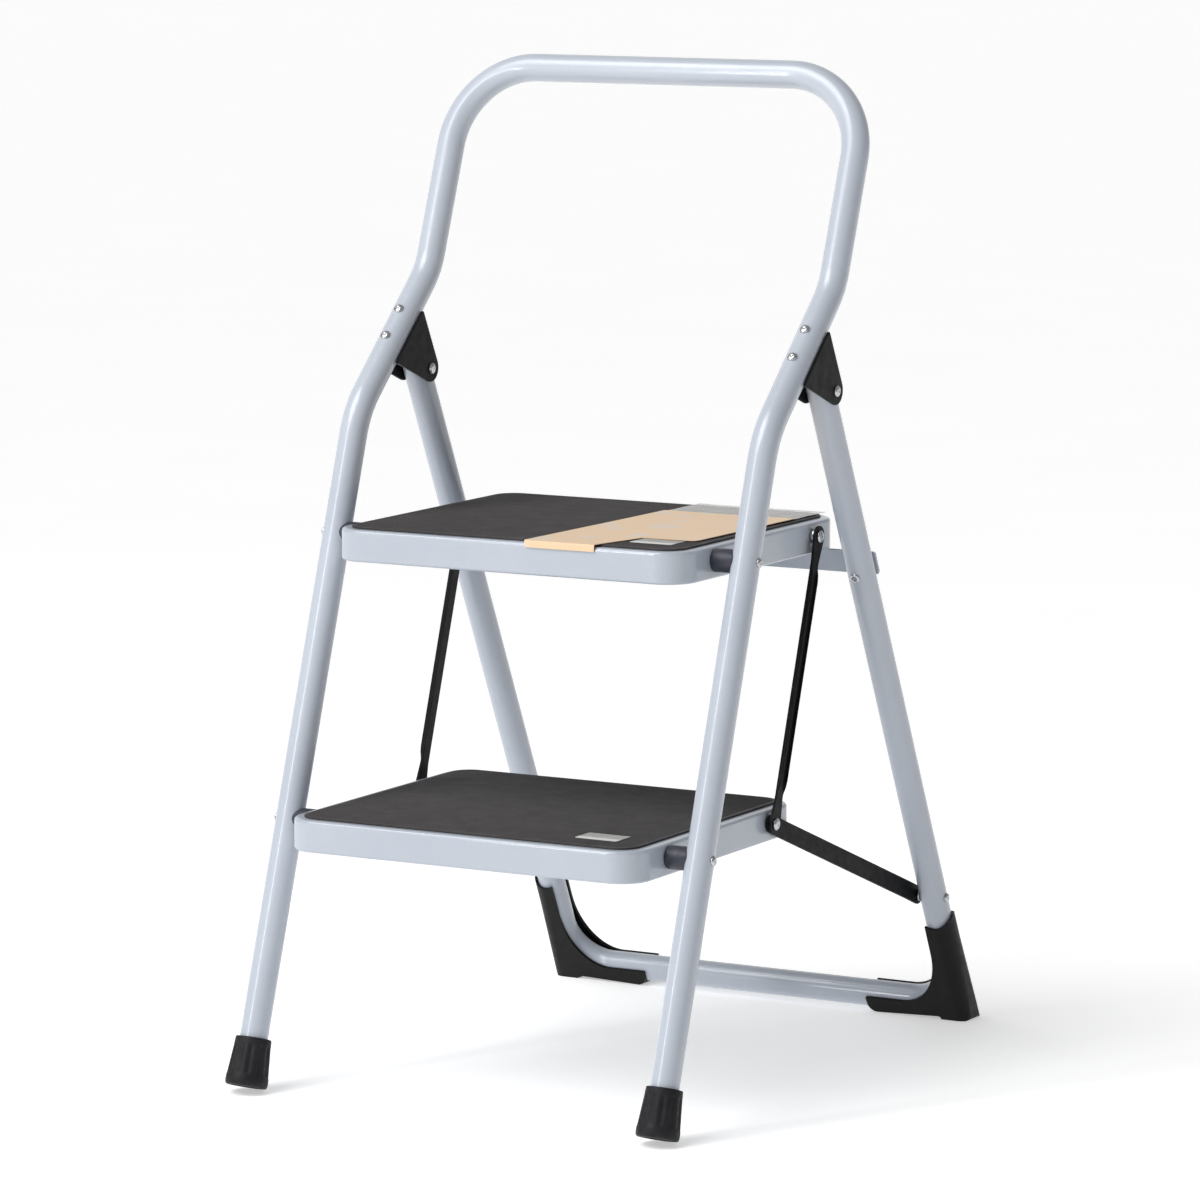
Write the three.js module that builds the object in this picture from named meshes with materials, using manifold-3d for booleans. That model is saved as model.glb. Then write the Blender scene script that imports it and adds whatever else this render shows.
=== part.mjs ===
// Folding step stool with two treads, in millimetres.
// x runs across the stool, y from the front legs to the back, z up.
// The front frame is one bent hoop of tube. Both treads turn on rivets through its legs, drop
// links join the rear edges of the treads, lower links join the lower tread to the rear frame,
// and the rear frame turns in a bracket on each front leg.
import * as THREE from 'three';
import { mergeVertices } from 'three/addons/utils/BufferGeometryUtils.js';
import Module from 'manifold-3d';

const wasm = await Module();
wasm.setup();

// ---------------------------------------------------------------- driving dimensions
const gap = 0.3; // clearance left between pieces that touch
const sides = [['left', -1], ['right', 1]];

const tubeRadius = 12.5;
const tubeWall = 1.4;
const legX = 205; // centre of the legs of both frames, left and right

// Front frame, as y and z of its centre line where the straight stretches meet.
const knee = { y: 194.5, z: 582.4, bend: 90 };
const shoulder = { y: 319, z: 699.6, bend: 70 };
const handle = { y: 386.5, z: 880.4, bend: 75 };

// Rear frame: a U whose legs turn on the hinge and whose bar lies near the floor.
const hinge = { y: 298.2, z: 611.9 };
const rearBar = { y: 583.6, z: 16, bend: 45 };
const rearTubeAboveHinge = 14;

// Treads. Sizes are measured from the tread's own pivot on the front legs.
const upperPivotHeight = 477;
const lowerPivotHeight = 232;
const tray = { halfWidth: 175, front: -60.6, rear: 237.4, top: 12.2, bottom: -16, wall: 1.5 };
const trayCorner = { front: 28, rear: 26 };
const matInset = { side: 9, front: 8, rear: 6 };
const mat = { thickness: 1.6 };
mat.bottom = tray.top + gap;
mat.top = mat.bottom + mat.thickness;
const linkPivotBehind = 183; // from a tread's front pivot to its link rivet

// Links, as flat bars standing in planes of constant x.
const dropLink = {
  x: 180, thickness: 2.5, width: 10.5, eye: 9.5, neck: 24, flange: 1.5, depth: 4.5,
};
const lowerLink = { width: 16.5, thickness: 3, x: 176, xAtLeg: 186.5 };
const lowerLinkLegHeight = 124; // height of the open pivot on the rear legs
const legInnerX = legX - tubeRadius;
const legOuterX = legX + tubeRadius;

// Rivets: shank, head and the height of the domed head.
const legRivet = { shank: 3, head: 4.3, dome: 1.9 };
const linkRivet = { shank: 3, head: 5, dome: 2.1 };
const pinHoleRadius = 3.4;

// ---------------------------------------------------------------- materials
const finish = (color, roughness, metalness) =>
  new THREE.MeshStandardMaterial({ color, roughness, metalness });
const paint = finish(0xcdd4dd, 0.35, 0.1);
const blackSteel = finish(0x26282b, 0.45, 0.3);
const blackPlastic = finish(0x141416, 0.5, 0);
const rubber = finish(0x2f2e32, 0.8, 0);
const zinc = finish(0xb9bdc2, 0.3, 0.9);
const spacerPlastic = finish(0x474855, 0.5, 0);
const matRubber = finish(0x4a4a4c, 0.75, 0);
const cardboard = finish(0xe8cba0, 0.7, 0);
const clearFilm = finish(0xc9c6bd, 0.25, 0);
const foil = finish(0xaaa8a0, 0.4, 0.4);

// ---------------------------------------------------------------- helpers
const xAxis = new THREE.Vector3(1, 0, 0);
const yAxis = new THREE.Vector3(0, 1, 0);
const zAxis = new THREE.Vector3(0, 0, 1);
const point = (x, y, z) => new THREE.Vector3(x, y, z);

// Turns a closed geometry into a solid that can be cut and joined.
function solid(geometry) {
  const bare = geometry.clone();
  bare.deleteAttribute('normal');
  bare.deleteAttribute('uv');
  const merged = mergeVertices(bare, 1e-3);
  return new wasm.Manifold(new wasm.Mesh({
    numProp: 3,
    vertProperties: new Float32Array(merged.attributes.position.array),
    triVerts: new Uint32Array(merged.index.array),
  }));
}

function geometryOf(body) {
  const mesh = body.getMesh();
  const geometry = new THREE.BufferGeometry();
  geometry.setAttribute('position', new THREE.BufferAttribute(mesh.vertProperties, 3));
  geometry.setIndex(new THREE.BufferAttribute(mesh.triVerts, 1));
  geometry.computeVertexNormals();
  return geometry;
}

const join = (first, ...others) => others.reduce((sum, body) => sum.add(body), first);
const cut = (first, ...others) => others.reduce((rest, body) => rest.subtract(body), first);

// The same piece for the other side of the stool.
function mirrored(geometry) {
  const copy = geometry.clone().scale(-1, 1, 1);
  const index = copy.index.array;
  for (let i = 0; i < index.length; i += 3) {
    [index[i], index[i + 1]] = [index[i + 1], index[i]];
  }
  copy.computeVertexNormals();
  return copy;
}

// An outline through the corners [x, y, radius], taken anticlockwise.
function outline(corners) {
  const path = new THREE.Shape();
  const at = corners.map(([x, y]) => new THREE.Vector2(x, y));
  corners.forEach(([x, y, radius = 0], i) => {
    const into = at[i].clone().sub(at.at(i - 1)).normalize();
    const out = at[(i + 1) % at.length].clone().sub(at[i]).normalize();
    if (radius === 0) {
      if (i === 0) path.moveTo(x, y);
      else path.lineTo(x, y);
      return;
    }
    const turn = Math.atan2(into.cross(out), into.dot(out));
    const start = at[i].clone().addScaledVector(into, -radius * Math.tan(Math.abs(turn) / 2));
    const toCentre = new THREE.Vector2(-into.y, into.x).multiplyScalar(Math.sign(turn) * radius);
    const centre = start.clone().add(toCentre);
    const from = Math.atan2(-toCentre.y, -toCentre.x);
    path.absarc(centre.x, centre.y, radius, from, from + turn, turn < 0);
  });
  return path;
}

const rectangle = (x0, y0, x1, y1, radius = 0) =>
  outline([[x0, y0, radius], [x1, y0, radius], [x1, y1, radius], [x0, y1, radius]]);

// A flat outline extruded from one depth to another, then stood in the given frame.
function plate(shape, from, to, frame = new THREE.Matrix4(), curveSegments = 3) {
  const settings = { depth: to - from, bevelEnabled: false, curveSegments };
  return new THREE.ExtrudeGeometry(shape, settings).translate(0, 0, from).applyMatrix4(frame);
}

const frameOf = (right, up, origin = point(0, 0, 0)) =>
  new THREE.Matrix4().makeBasis(right, up, right.clone().cross(up)).setPosition(origin);
const sideView = frameOf(yAxis, zAxis); // outlines drawn in y and z, extruded along x
const frontView = frameOf(xAxis, zAxis); // outlines drawn in x and z, extruded towards the front

function rod(radius, from, to, segments = 10) {
  const length = from.distanceTo(to);
  const direction = to.clone().sub(from).normalize();
  const turn = new THREE.Quaternion().setFromUnitVectors(yAxis, direction);
  const middle = from.clone().lerp(to, 0.5);
  return solid(new THREE.CylinderGeometry(radius, radius, length, segments)
    .applyQuaternion(turn)
    .translate(middle.x, middle.y, middle.z));
}

// A route of straight stretches and round bends, with its steps only where it turns.
class BentRoute extends THREE.Curve {
  constructor(corners, stepAngle) {
    super();
    this.stations = [];
    corners.forEach(({ at, bend = 0 }, i) => {
      const into = at.clone().sub((corners[i - 1] ?? corners[0]).at).normalize();
      const out = (corners[i + 1] ?? corners.at(-1)).at.clone().sub(at).normalize();
      if (bend === 0) {
        this.stations.push({ at, tangent: i === 0 ? out : into });
        return;
      }
      const turn = into.angleTo(out);
      const side = out.clone().addScaledVector(into, -out.dot(into)).normalize();
      const start = at.clone().addScaledVector(into, -bend * Math.tan(turn / 2));
      const steps = Math.ceil(turn / stepAngle);
      for (let step = 0; step <= steps; step += 1) {
        const angle = turn * step / steps;
        this.stations.push({
          at: start.clone().addScaledVector(into, bend * Math.sin(angle))
            .addScaledVector(side, bend * (1 - Math.cos(angle))),
          tangent: into.clone().multiplyScalar(Math.cos(angle))
            .addScaledVector(side, Math.sin(angle)),
        });
      }
    });
  }

  get steps() {
    return this.stations.length - 1;
  }

  getPointAt(u, target = new THREE.Vector3()) {
    return target.copy(this.stations[Math.round(u * this.steps)].at);
  }

  getTangentAt(u, target = new THREE.Vector3()) {
    return target.copy(this.stations[Math.round(u * this.steps)].tangent);
  }
}

const bendStep = THREE.MathUtils.degToRad(13);
const tubeSides = 16;

function sweep(corners, radius, wall = 0) {
  const section = new THREE.Shape().absarc(0, 0, radius, 0, 2 * Math.PI);
  if (wall > 0) section.holes.push(new THREE.Path().absarc(0, 0, radius - wall, 0, 2 * Math.PI));
  const route = new BentRoute(corners, bendStep);
  return solid(new THREE.ExtrudeGeometry(section, {
    steps: route.steps,
    extrudePath: route,
    curveSegments: tubeSides / 2,
    bevelEnabled: false,
  }));
}

// A round rivet along +x, its shank gripping from 0 to grip, with a dome at each end.
// A collar is a wider stretch of the shank between two distances.
function rivet({ shank, head, dome }, grip, { collar = [], farHead = true } = {}) {
  const domeSteps = 2;
  const profile = [];
  for (let step = 0; step <= domeSteps; step += 1) {
    const angle = (Math.PI / 2) * (step / domeSteps);
    profile.push([head * Math.sin(angle), -dome * Math.cos(angle)]);
  }
  profile.push([shank, 0]);
  if (collar.length > 0) {
    const [from, to, radius] = collar;
    profile.push([shank, from], [radius, from], [radius, to], [shank, to]);
  }
  profile.push([shank, grip]);
  if (farHead) {
    for (let step = domeSteps; step >= 0; step -= 1) {
      const angle = (Math.PI / 2) * (step / domeSteps);
      profile.push([head * Math.sin(angle), grip + dome * Math.cos(angle)]);
    }
  } else {
    profile.push([0, grip]);
  }
  const lathed = new THREE.LatheGeometry(profile.map(([r, h]) => new THREE.Vector2(r, h)), 12);
  return geometryOf(solid(lathed.rotateZ(-Math.PI / 2)));
}

function piece(name, geometry, material, parent, position = point(0, 0, 0)) {
  const mesh = new THREE.Mesh(geometry, material);
  mesh.name = name;
  mesh.position.copy(position);
  parent.add(mesh);
  return mesh;
}

// A rivet that starts at one x on a side and reaches outwards.
function sideRivet(name, shape, sign, x, at, parent, material = zinc) {
  const mesh = piece(name, shape, material, parent, point(sign * x, at.y, at.z));
  if (sign < 0) mesh.rotation.z = Math.PI;
  return mesh;
}

// ---------------------------------------------------------------- derived places
const legLean = Math.atan2(knee.y, knee.z);
const legUp = point(0, Math.sin(legLean), Math.cos(legLean));
const onFrontLeg = (z) => ({ y: z * Math.tan(legLean), z });
const upperPivot = onFrontLeg(upperPivotHeight);
const lowerPivot = onFrontLeg(lowerPivotHeight);

const rearLength = Math.hypot(hinge.y - rearBar.y, hinge.z - rearBar.z);
const rearUp = point(0, (hinge.y - rearBar.y) / rearLength, (hinge.z - rearBar.z) / rearLength);
const rearFace = point(0, rearUp.z, -rearUp.y); // square to the rear frame, towards the back
const onRearLeg = (z) => ({ y: rearBar.y + (z - rearBar.z) * rearUp.y / rearUp.z, z });
const lowerLinkEnd = onRearLeg(lowerLinkLegHeight);
const rearPlane = frameOf(xAxis, rearUp, point(0, rearBar.y, rearBar.z));

const stool = new THREE.Group();
const frontFrame = new THREE.Group();
const rearFrame = new THREE.Group();
stool.add(frontFrame, rearFrame);

// ---------------------------------------------------------------- front feet
const ferrule = { height: 43, bottomRadius: 19, soleRadius: 17.5, topRadius: 16, floor: 6 };
const ferruleLift = ferrule.soleRadius * Math.sin(legLean); // the rear edge meets the floor
const ferruleBase = legUp.clone().multiplyScalar(ferruleLift / legUp.z);

function frontFeet() {
  const { height, bottomRadius, soleRadius, topRadius, floor } = ferrule;
  const bore = tubeRadius + gap;
  const profile = [[0, 0], [soleRadius, 0], [bottomRadius, 2.2], [bottomRadius - 0.4, 9],
    [topRadius, height - 1], [topRadius - 1, height], [bore, height], [bore, floor], [0, floor]];
  const cup = new THREE.LatheGeometry(profile.map(([r, h]) => new THREE.Vector2(r, h)), 24);
  const geometry = geometryOf(solid(cup.rotateX(Math.PI / 2)));
  for (const [side, sign] of sides) {
    const base = ferruleBase.clone().setX(sign * legX);
    const foot = piece(`front_foot_${side}`, geometry, rubber, frontFrame, base);
    foot.quaternion.setFromUnitVectors(zAxis, legUp);
  }
}

// ---------------------------------------------------------------- front frame and its rivets
const slopeLength = Math.hypot(shoulder.y - knee.y, shoulder.z - knee.z);
const slopeUp = point(0, (shoulder.y - knee.y) / slopeLength, (shoulder.z - knee.z) / slopeLength);
const slopeBack = point(0, slopeUp.z, -slopeUp.y); // square to the sloping stretch, to the back
const slopePoint = (along, back = 0) => point(0, knee.y, knee.z)
  .addScaledVector(slopeUp, along)
  .addScaledVector(slopeBack, back);
const bracketRivetsAlong = { lower: 79, upper: 111 };

function frontTube() {
  const foot = ferruleBase.clone().addScaledVector(legUp, ferrule.floor + gap);
  const legOf = (sign) => [
    { at: foot.clone().setX(sign * legX) },
    { at: point(sign * legX, knee.y, knee.z), bend: knee.bend },
    { at: point(sign * legX, shoulder.y, shoulder.z), bend: shoulder.bend },
    { at: point(sign * legX, handle.y, handle.z), bend: handle.bend },
  ];
  const holes = [];
  for (const [, sign] of sides) {
    for (const { y, z } of [upperPivot, lowerPivot]) {
      holes.push(rod(pinHoleRadius, point(sign * (legX - 20), y, z), point(sign * (legX + 20), y, z)));
    }
    for (const along of Object.values(bracketRivetsAlong)) {
      const from = slopePoint(along, -20).setX(sign * legX);
      holes.push(rod(pinHoleRadius, from, slopePoint(along, 20).setX(sign * legX)));
    }
  }
  const hoop = sweep([...legOf(-1), ...legOf(1).reverse()], tubeRadius, tubeWall);
  piece('front_frame_tube', geometryOf(cut(hoop, ...holes)), paint, frontFrame);
}

function stepPivots() {
  const innerX = tray.halfWidth - tray.wall - gap;
  const shape = rivet(legRivet, legOuterX + gap - innerX);
  const spacerFrom = tray.halfWidth + gap;
  const ring = new THREE.Shape().absarc(0, 0, 10.4, 0, 2 * Math.PI);
  ring.holes.push(new THREE.Path().absarc(0, 0, pinHoleRadius, 0, 2 * Math.PI));
  const spacer = plate(ring, 0, legInnerX - gap - spacerFrom, sideView, 10);
  for (const [step, pivot] of [['upper', upperPivot], ['lower', lowerPivot]]) {
    for (const [side, sign] of sides) {
      sideRivet(`${step}_step_rivet_${side}`, shape, sign, innerX, pivot, frontFrame);
      sideRivet(`${step}_step_spacer_${side}`, spacer, sign, spacerFrom, pivot, frontFrame,
        spacerPlastic);
    }
  }
}

// ---------------------------------------------------------------- hinge brackets
const ear = { inner: 13, thickness: 2.5, noseRadius: 12.3, from: 60, to: 122 };

function hingeBrackets() {
  const toHinge = point(0, hinge.y - knee.y, hinge.z - knee.z);
  const nose = new THREE.Vector2(toHinge.dot(slopeUp), toHinge.dot(slopeBack));
  const tangentAngle = (x, turn) => {
    const corner = new THREE.Vector2(x, 1).sub(nose);
    return corner.angle() + turn * Math.acos(ear.noseRadius / corner.length());
  };
  const earShape = new THREE.Shape();
  earShape.moveTo(ear.from, 1);
  earShape.lineTo(ear.to, 1);
  earShape.absarc(nose.x, nose.y, ear.noseRadius, tangentAngle(ear.to, 1),
    tangentAngle(ear.from, -1));
  const bracketFrame = frameOf(slopeUp, slopeBack, point(0, knee.y, knee.z));
  const outer = ear.inner + ear.thickness;
  const webFrom = tubeRadius + gap;
  const web = rectangle(ear.from + 8, webFrom, ear.to - 6, webFrom + ear.thickness);
  const bracket = cut(
    join(
      solid(plate(earShape, ear.inner, outer, bracketFrame, 6)),
      solid(plate(earShape, -outer, -ear.inner, bracketFrame, 6)),
      solid(plate(web, -outer, outer, bracketFrame)),
    ),
    rod(pinHoleRadius, point(-20, hinge.y, hinge.z), point(20, hinge.y, hinge.z)),
    ...Object.values(bracketRivetsAlong).map((along) =>
      rod(pinHoleRadius, slopePoint(along, 5), slopePoint(along, 20))),
  );
  const pinShape = rivet(linkRivet, 2 * (outer + gap));
  const rivetShape = rivet(linkRivet, 2 * (tubeRadius + gap) + ear.thickness + gap);
  for (const [side, sign] of sides) {
    const place = point(sign * legX, 0, 0);
    piece(`hinge_bracket_${side}`, geometryOf(bracket), blackSteel, frontFrame, place);
    sideRivet(`hinge_pin_${side}`, pinShape, sign, legX - outer - gap, hinge, frontFrame);
    for (const [level, along] of Object.entries(bracketRivetsAlong)) {
      const head = slopePoint(along, -tubeRadius - gap).setX(sign * legX);
      const body = piece(`bracket_rivet_${level}_${side}`, rivetShape, zinc, frontFrame, head);
      body.quaternion.setFromUnitVectors(xAxis, slopeBack);
    }
  }
}

// ---------------------------------------------------------------- rear frame
const crossbar = { halfLength: 215, height: 23, thickness: 2.5 };
const crossbarFrom = tubeRadius + gap; // distance behind the centre of the rear legs
const trayUnderside = upperPivotHeight + tray.bottom;
// Height of the crossbar's top edge along the legs, just under the upper tread.
const crossbarTop = (trayUnderside - gap - rearBar.z
  - rearFace.z * (crossbarFrom + crossbar.thickness)) / rearUp.z;
const crossbarRivetAlong = crossbarTop - crossbar.height / 2;

const rearCorners = [
  { at: point(-legX, hinge.y, hinge.z).addScaledVector(rearUp, rearTubeAboveHinge) },
  { at: point(-legX, rearBar.y, rearBar.z), bend: rearBar.bend },
  { at: point(legX, rearBar.y, rearBar.z), bend: rearBar.bend },
  { at: point(legX, hinge.y, hinge.z).addScaledVector(rearUp, rearTubeAboveHinge) },
];
const rearPoint = (x, along, back) => point(x, rearBar.y, rearBar.z)
  .addScaledVector(rearUp, along)
  .addScaledVector(rearFace, back);

function rearTube() {
  const holes = [];
  for (const [, sign] of sides) {
    for (const { y, z } of [hinge, lowerLinkEnd]) {
      holes.push(rod(pinHoleRadius, point(sign * (legX - 20), y, z), point(sign * (legX + 20), y, z)));
    }
    const x = sign * legX;
    holes.push(rod(pinHoleRadius, rearPoint(x, crossbarRivetAlong, -20),
      rearPoint(x, crossbarRivetAlong, 20)));
  }
  const tube = cut(sweep(rearCorners, tubeRadius, tubeWall), ...holes);
  piece('rear_frame_tube', geometryOf(tube), paint, rearFrame);
}

function rearCrossbar() {
  const { halfLength, height, thickness } = crossbar;
  const strip = rectangle(-halfLength, crossbarTop - height, halfLength, crossbarTop, 3);
  const holes = sides.map(([, sign]) => rod(pinHoleRadius,
    rearPoint(sign * legX, crossbarRivetAlong, 5), rearPoint(sign * legX, crossbarRivetAlong, 25)));
  // The outline's own depth runs to the front, so the strip lies at negative depths.
  const bar = solid(plate(strip, -crossbarFrom - thickness, -crossbarFrom, rearPlane));
  piece('rear_crossbar', geometryOf(cut(bar, ...holes)), paint, rearFrame);
  const shape = rivet(legRivet, 2 * (tubeRadius + gap) + thickness + gap);
  for (const [side, sign] of sides) {
    const head = rearPoint(sign * legX, crossbarRivetAlong, -tubeRadius - gap);
    const body = piece(`crossbar_rivet_${side}`, shape, zinc, rearFrame, head);
    body.quaternion.setFromUnitVectors(xAxis, rearFace);
  }
}

// Leg half of each open pivot: a rivet through the rear leg, flush on its inner side.
function legLinkRivets() {
  const from = legInnerX + 2 * gap;
  const shape = rivet(legRivet, legOuterX + gap - from, { farHead: false })
    .rotateZ(Math.PI).translate(legOuterX + gap - from, 0, 0);
  for (const [side, sign] of sides) {
    sideRivet(`lower_link_leg_rivet_${side}`, shape, sign, from, lowerLinkEnd, rearFrame);
  }
}

// ---------------------------------------------------------------- rear feet
// A plastic shell round the bottom corner of the rear frame, open towards the inside.
const rearFoot = {
  wall: 3,
  outerX: legX + 15.5,
  frontTop: 92,
  rearTop: 100,
  frontBarX: 117,
  rearBarX: 117,
  frontLip: 5.5, // how far the front wall passes the tube's centre line
  rearLip: 10, // how far the rear wall passes it
  soleHeight: 2.4,
  heelX: 192,
  cornerRadius: 4.5,
};

// One wall in the plane of the rear frame, following the bend of the tube on its inner edge.
function footWall(lip, top, barX) {
  const { outerX } = rearFoot;
  const centreX = legX - rearBar.bend;
  const wall = new THREE.Shape();
  wall.moveTo(barX, -30);
  wall.lineTo(outerX + 5, -30);
  wall.lineTo(outerX + 5, top + 10);
  wall.lineTo(legX - lip, top);
  wall.absarc(centreX, rearBar.bend, rearBar.bend - lip, 0, -Math.PI / 2, true);
  wall.lineTo(barX, lip);
  return wall;
}

function rearFeet() {
  const { wall, outerX, frontTop, rearTop, frontBarX, rearBarX, soleHeight, heelX } = rearFoot;
  const bore = tubeRadius + gap;
  const outside = bore + wall;
  const inside = bore - 1; // the walls reach this far in, where the cut for the tube takes over
  const filling = inside + 0.5;
  const silhouette = outline([
    [rearBarX - 10, 34], [rearBarX + 1, soleHeight, 9], [heelX, soleHeight], [heelX + 2, 0],
    [outerX, 0, rearFoot.cornerRadius], [outerX, 150], [rearBarX - 10, 150],
  ]);
  const walls = join(
    solid(plate(footWall(rearFoot.frontLip, frontTop, frontBarX), inside, outside, rearPlane, 4)),
    solid(plate(footWall(0, frontTop - 4, rearBarX), -filling, filling, rearPlane, 4)),
    solid(plate(footWall(rearFoot.rearLip, rearTop, rearBarX), -outside, -inside, rearPlane, 4)),
  );
  // Round on its outer side, flat-walled along the bar.
  const onLeg = (along) => point(legX, rearBar.y, rearBar.z).addScaledVector(rearUp, along);
  const column = join(
    rod(outside, onLeg(-60), onLeg(160), 24),
    solid(plate(rectangle(60, -60, legX, 160), -outside, outside, rearPlane)),
  );
  const foot = cut(walls, sweep(rearCorners, bore))
    .intersect(column)
    .intersect(solid(plate(silhouette, -rearBar.y - 100, 100 - rearBar.y, frontView)));
  const right = geometryOf(foot);
  piece('rear_foot_left', mirrored(right), blackPlastic, rearFrame);
  piece('rear_foot_right', right, blackPlastic, rearFrame);
}

// ---------------------------------------------------------------- treads
const trayShape = (inset, rearInset = inset) => outline([
  [-tray.halfWidth + inset, tray.front + inset, trayCorner.front - inset],
  [tray.halfWidth - inset, tray.front + inset, trayCorner.front - inset],
  [tray.halfWidth - inset, tray.rear - rearInset, Math.max(trayCorner.rear - rearInset, 4)],
  [-tray.halfWidth + inset, tray.rear - rearInset, Math.max(trayCorner.rear - rearInset, 4)],
]);

function matShape() {
  const halfWidth = tray.halfWidth - matInset.side;
  const front = tray.front + matInset.front;
  const rear = tray.rear - matInset.rear;
  const frontRadius = trayCorner.front - matInset.side;
  const rearRadius = trayCorner.rear - matInset.rear;
  return outline([
    [-halfWidth, front, frontRadius], [halfWidth, front, frontRadius],
    [halfWidth, rear, rearRadius], [-halfWidth, rear, rearRadius],
  ]);
}

// A slab with its top edge rounded off.
function roundedSlab(shape, bottom, top, edge) {
  const block = new THREE.ExtrudeGeometry(shape, {
    depth: top - bottom - edge,
    bevelThickness: edge,
    bevelSize: edge,
    bevelOffset: -edge,
    bevelSegments: 3,
    curveSegments: 3,
  }).translate(0, 0, bottom);
  const below = rectangle(-400, -400, 400, 400);
  return cut(solid(block), solid(plate(below, bottom - edge - 1, bottom)));
}

function trayGeometry() {
  const { wall, top, bottom, halfWidth } = tray;
  const edge = 3.5;
  const hem = { width: 9, rearWidth: 18 };
  const body = roundedSlab(trayShape(0), bottom, top, edge);
  const hollow = roundedSlab(trayShape(wall), bottom + wall, top - wall, edge - wall);
  const hemOpening = solid(plate(trayShape(hem.width, hem.rearWidth), bottom - 1, bottom + 2 * wall));
  const holes = [0, linkPivotBehind].map((y) =>
    rod(pinHoleRadius, point(-halfWidth - 5, y, 0), point(halfWidth + 5, y, 0)));
  return geometryOf(cut(body, hollow, hemOpening, ...holes));
}

const label = { x: { upper: 106, lower: 98 }, width: 41, y0: -27, y1: -1, thickness: 0.35 };

function treads() {
  const trayMetal = trayGeometry();
  const matSlab = plate(matShape(), mat.bottom, mat.top);
  const rivetFrom = tray.halfWidth - tray.wall - gap;
  const rivetGrip = dropLink.x + dropLink.thickness + gap - rivetFrom;
  const collar = [tray.halfWidth + gap - rivetFrom, dropLink.x - gap - rivetFrom, 5.5];
  const shapes = {
    upper: rivet(linkRivet, rivetGrip, { collar }),
    lower: rivet(linkRivet, rivetGrip),
  };
  for (const [name, pivot] of [['upper', upperPivot], ['lower', lowerPivot]]) {
    const step = new THREE.Group();
    step.position.set(0, pivot.y, pivot.z);
    stool.add(step);
    piece(`${name}_step_tray`, trayMetal, paint, step);
    piece(`${name}_step_mat`, matSlab, matRubber, step);
    const labelShape = rectangle(label.x[name], label.y0, label.x[name] + label.width, label.y1, 1.5);
    piece(`${name}_step_label`, plate(labelShape, mat.top + gap, mat.top + gap + label.thickness),
      foil, step);
    for (const [side, sign] of sides) {
      sideRivet(`${name}_link_rivet_${side}`, shapes[name], sign, rivetFrom,
        { y: linkPivotBehind, z: 0 }, step);
    }
    if (name === 'upper') retailCard(step);
  }
}

// The plain card over one side of the upper tread, with its front lip folded down, and the
// clear film that carries on from it to the back edge.
function retailCard(step) {
  const thickness = 0.5;
  const bottom = mat.top + gap;
  const front = tray.front - gap - thickness;
  const lipHeight = 6;
  const cardRear = 176;
  const filmRear = tray.rear - 1;
  const left = { front: 22, rear: 32 };
  const tongue = { front: 91, rear: 105, end: 0 };
  const right = { front: 157, rear: 162 };
  const card = outline([[left.front, front], [tongue.front, front], [tongue.rear, tongue.end, 3],
    [right.front, tongue.end, 6], [right.rear, cardRear], [left.rear - 2, cardRear]]);
  const lip = rectangle(left.front, front, tongue.front, front + thickness);
  const folded = join(
    solid(plate(card, bottom, bottom + thickness)),
    solid(plate(lip, bottom + thickness - lipHeight, bottom + thickness)),
  );
  piece('retail_card', geometryOf(folded), cardboard, step);
  const film = outline([[left.rear - 2, cardRear + gap], [right.rear, cardRear + gap],
    [right.rear + 1, filmRear], [left.rear, filmRear]]);
  piece('retail_card_film', plate(film, bottom, bottom + thickness), clearFilm, step);
}

// ---------------------------------------------------------------- links
// A bar with a round eye at each end. An eye wider than the bar narrows to it over the neck.
function barShape(length, width, eye = width / 2, neck = 0) {
  const half = width / 2;
  const touch = neck > 0
    ? Math.atan2(half, neck) + Math.acos(eye / Math.hypot(neck, half))
    : Math.PI / 2;
  const bar = new THREE.Shape();
  bar.absarc(0, 0, eye, touch, 2 * Math.PI - touch);
  if (neck > 0) bar.lineTo(neck, -half).lineTo(length - neck, -half);
  bar.absarc(length, 0, eye, touch - Math.PI, Math.PI - touch);
  if (neck > 0) bar.lineTo(length - neck, half).lineTo(neck, half);
  for (const at of [0, length]) {
    bar.holes.push(new THREE.Path().absarc(at, 0, pinHoleRadius, 0, 2 * Math.PI));
  }
  return bar;
}

// Places a link's mesh at its first pivot, pointing at its second.
function aimed(mesh, from, to) {
  mesh.position.set(0, from.y, from.z);
  mesh.rotation.x = Math.atan2(to.z - from.z, to.y - from.y);
  return mesh;
}

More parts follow.
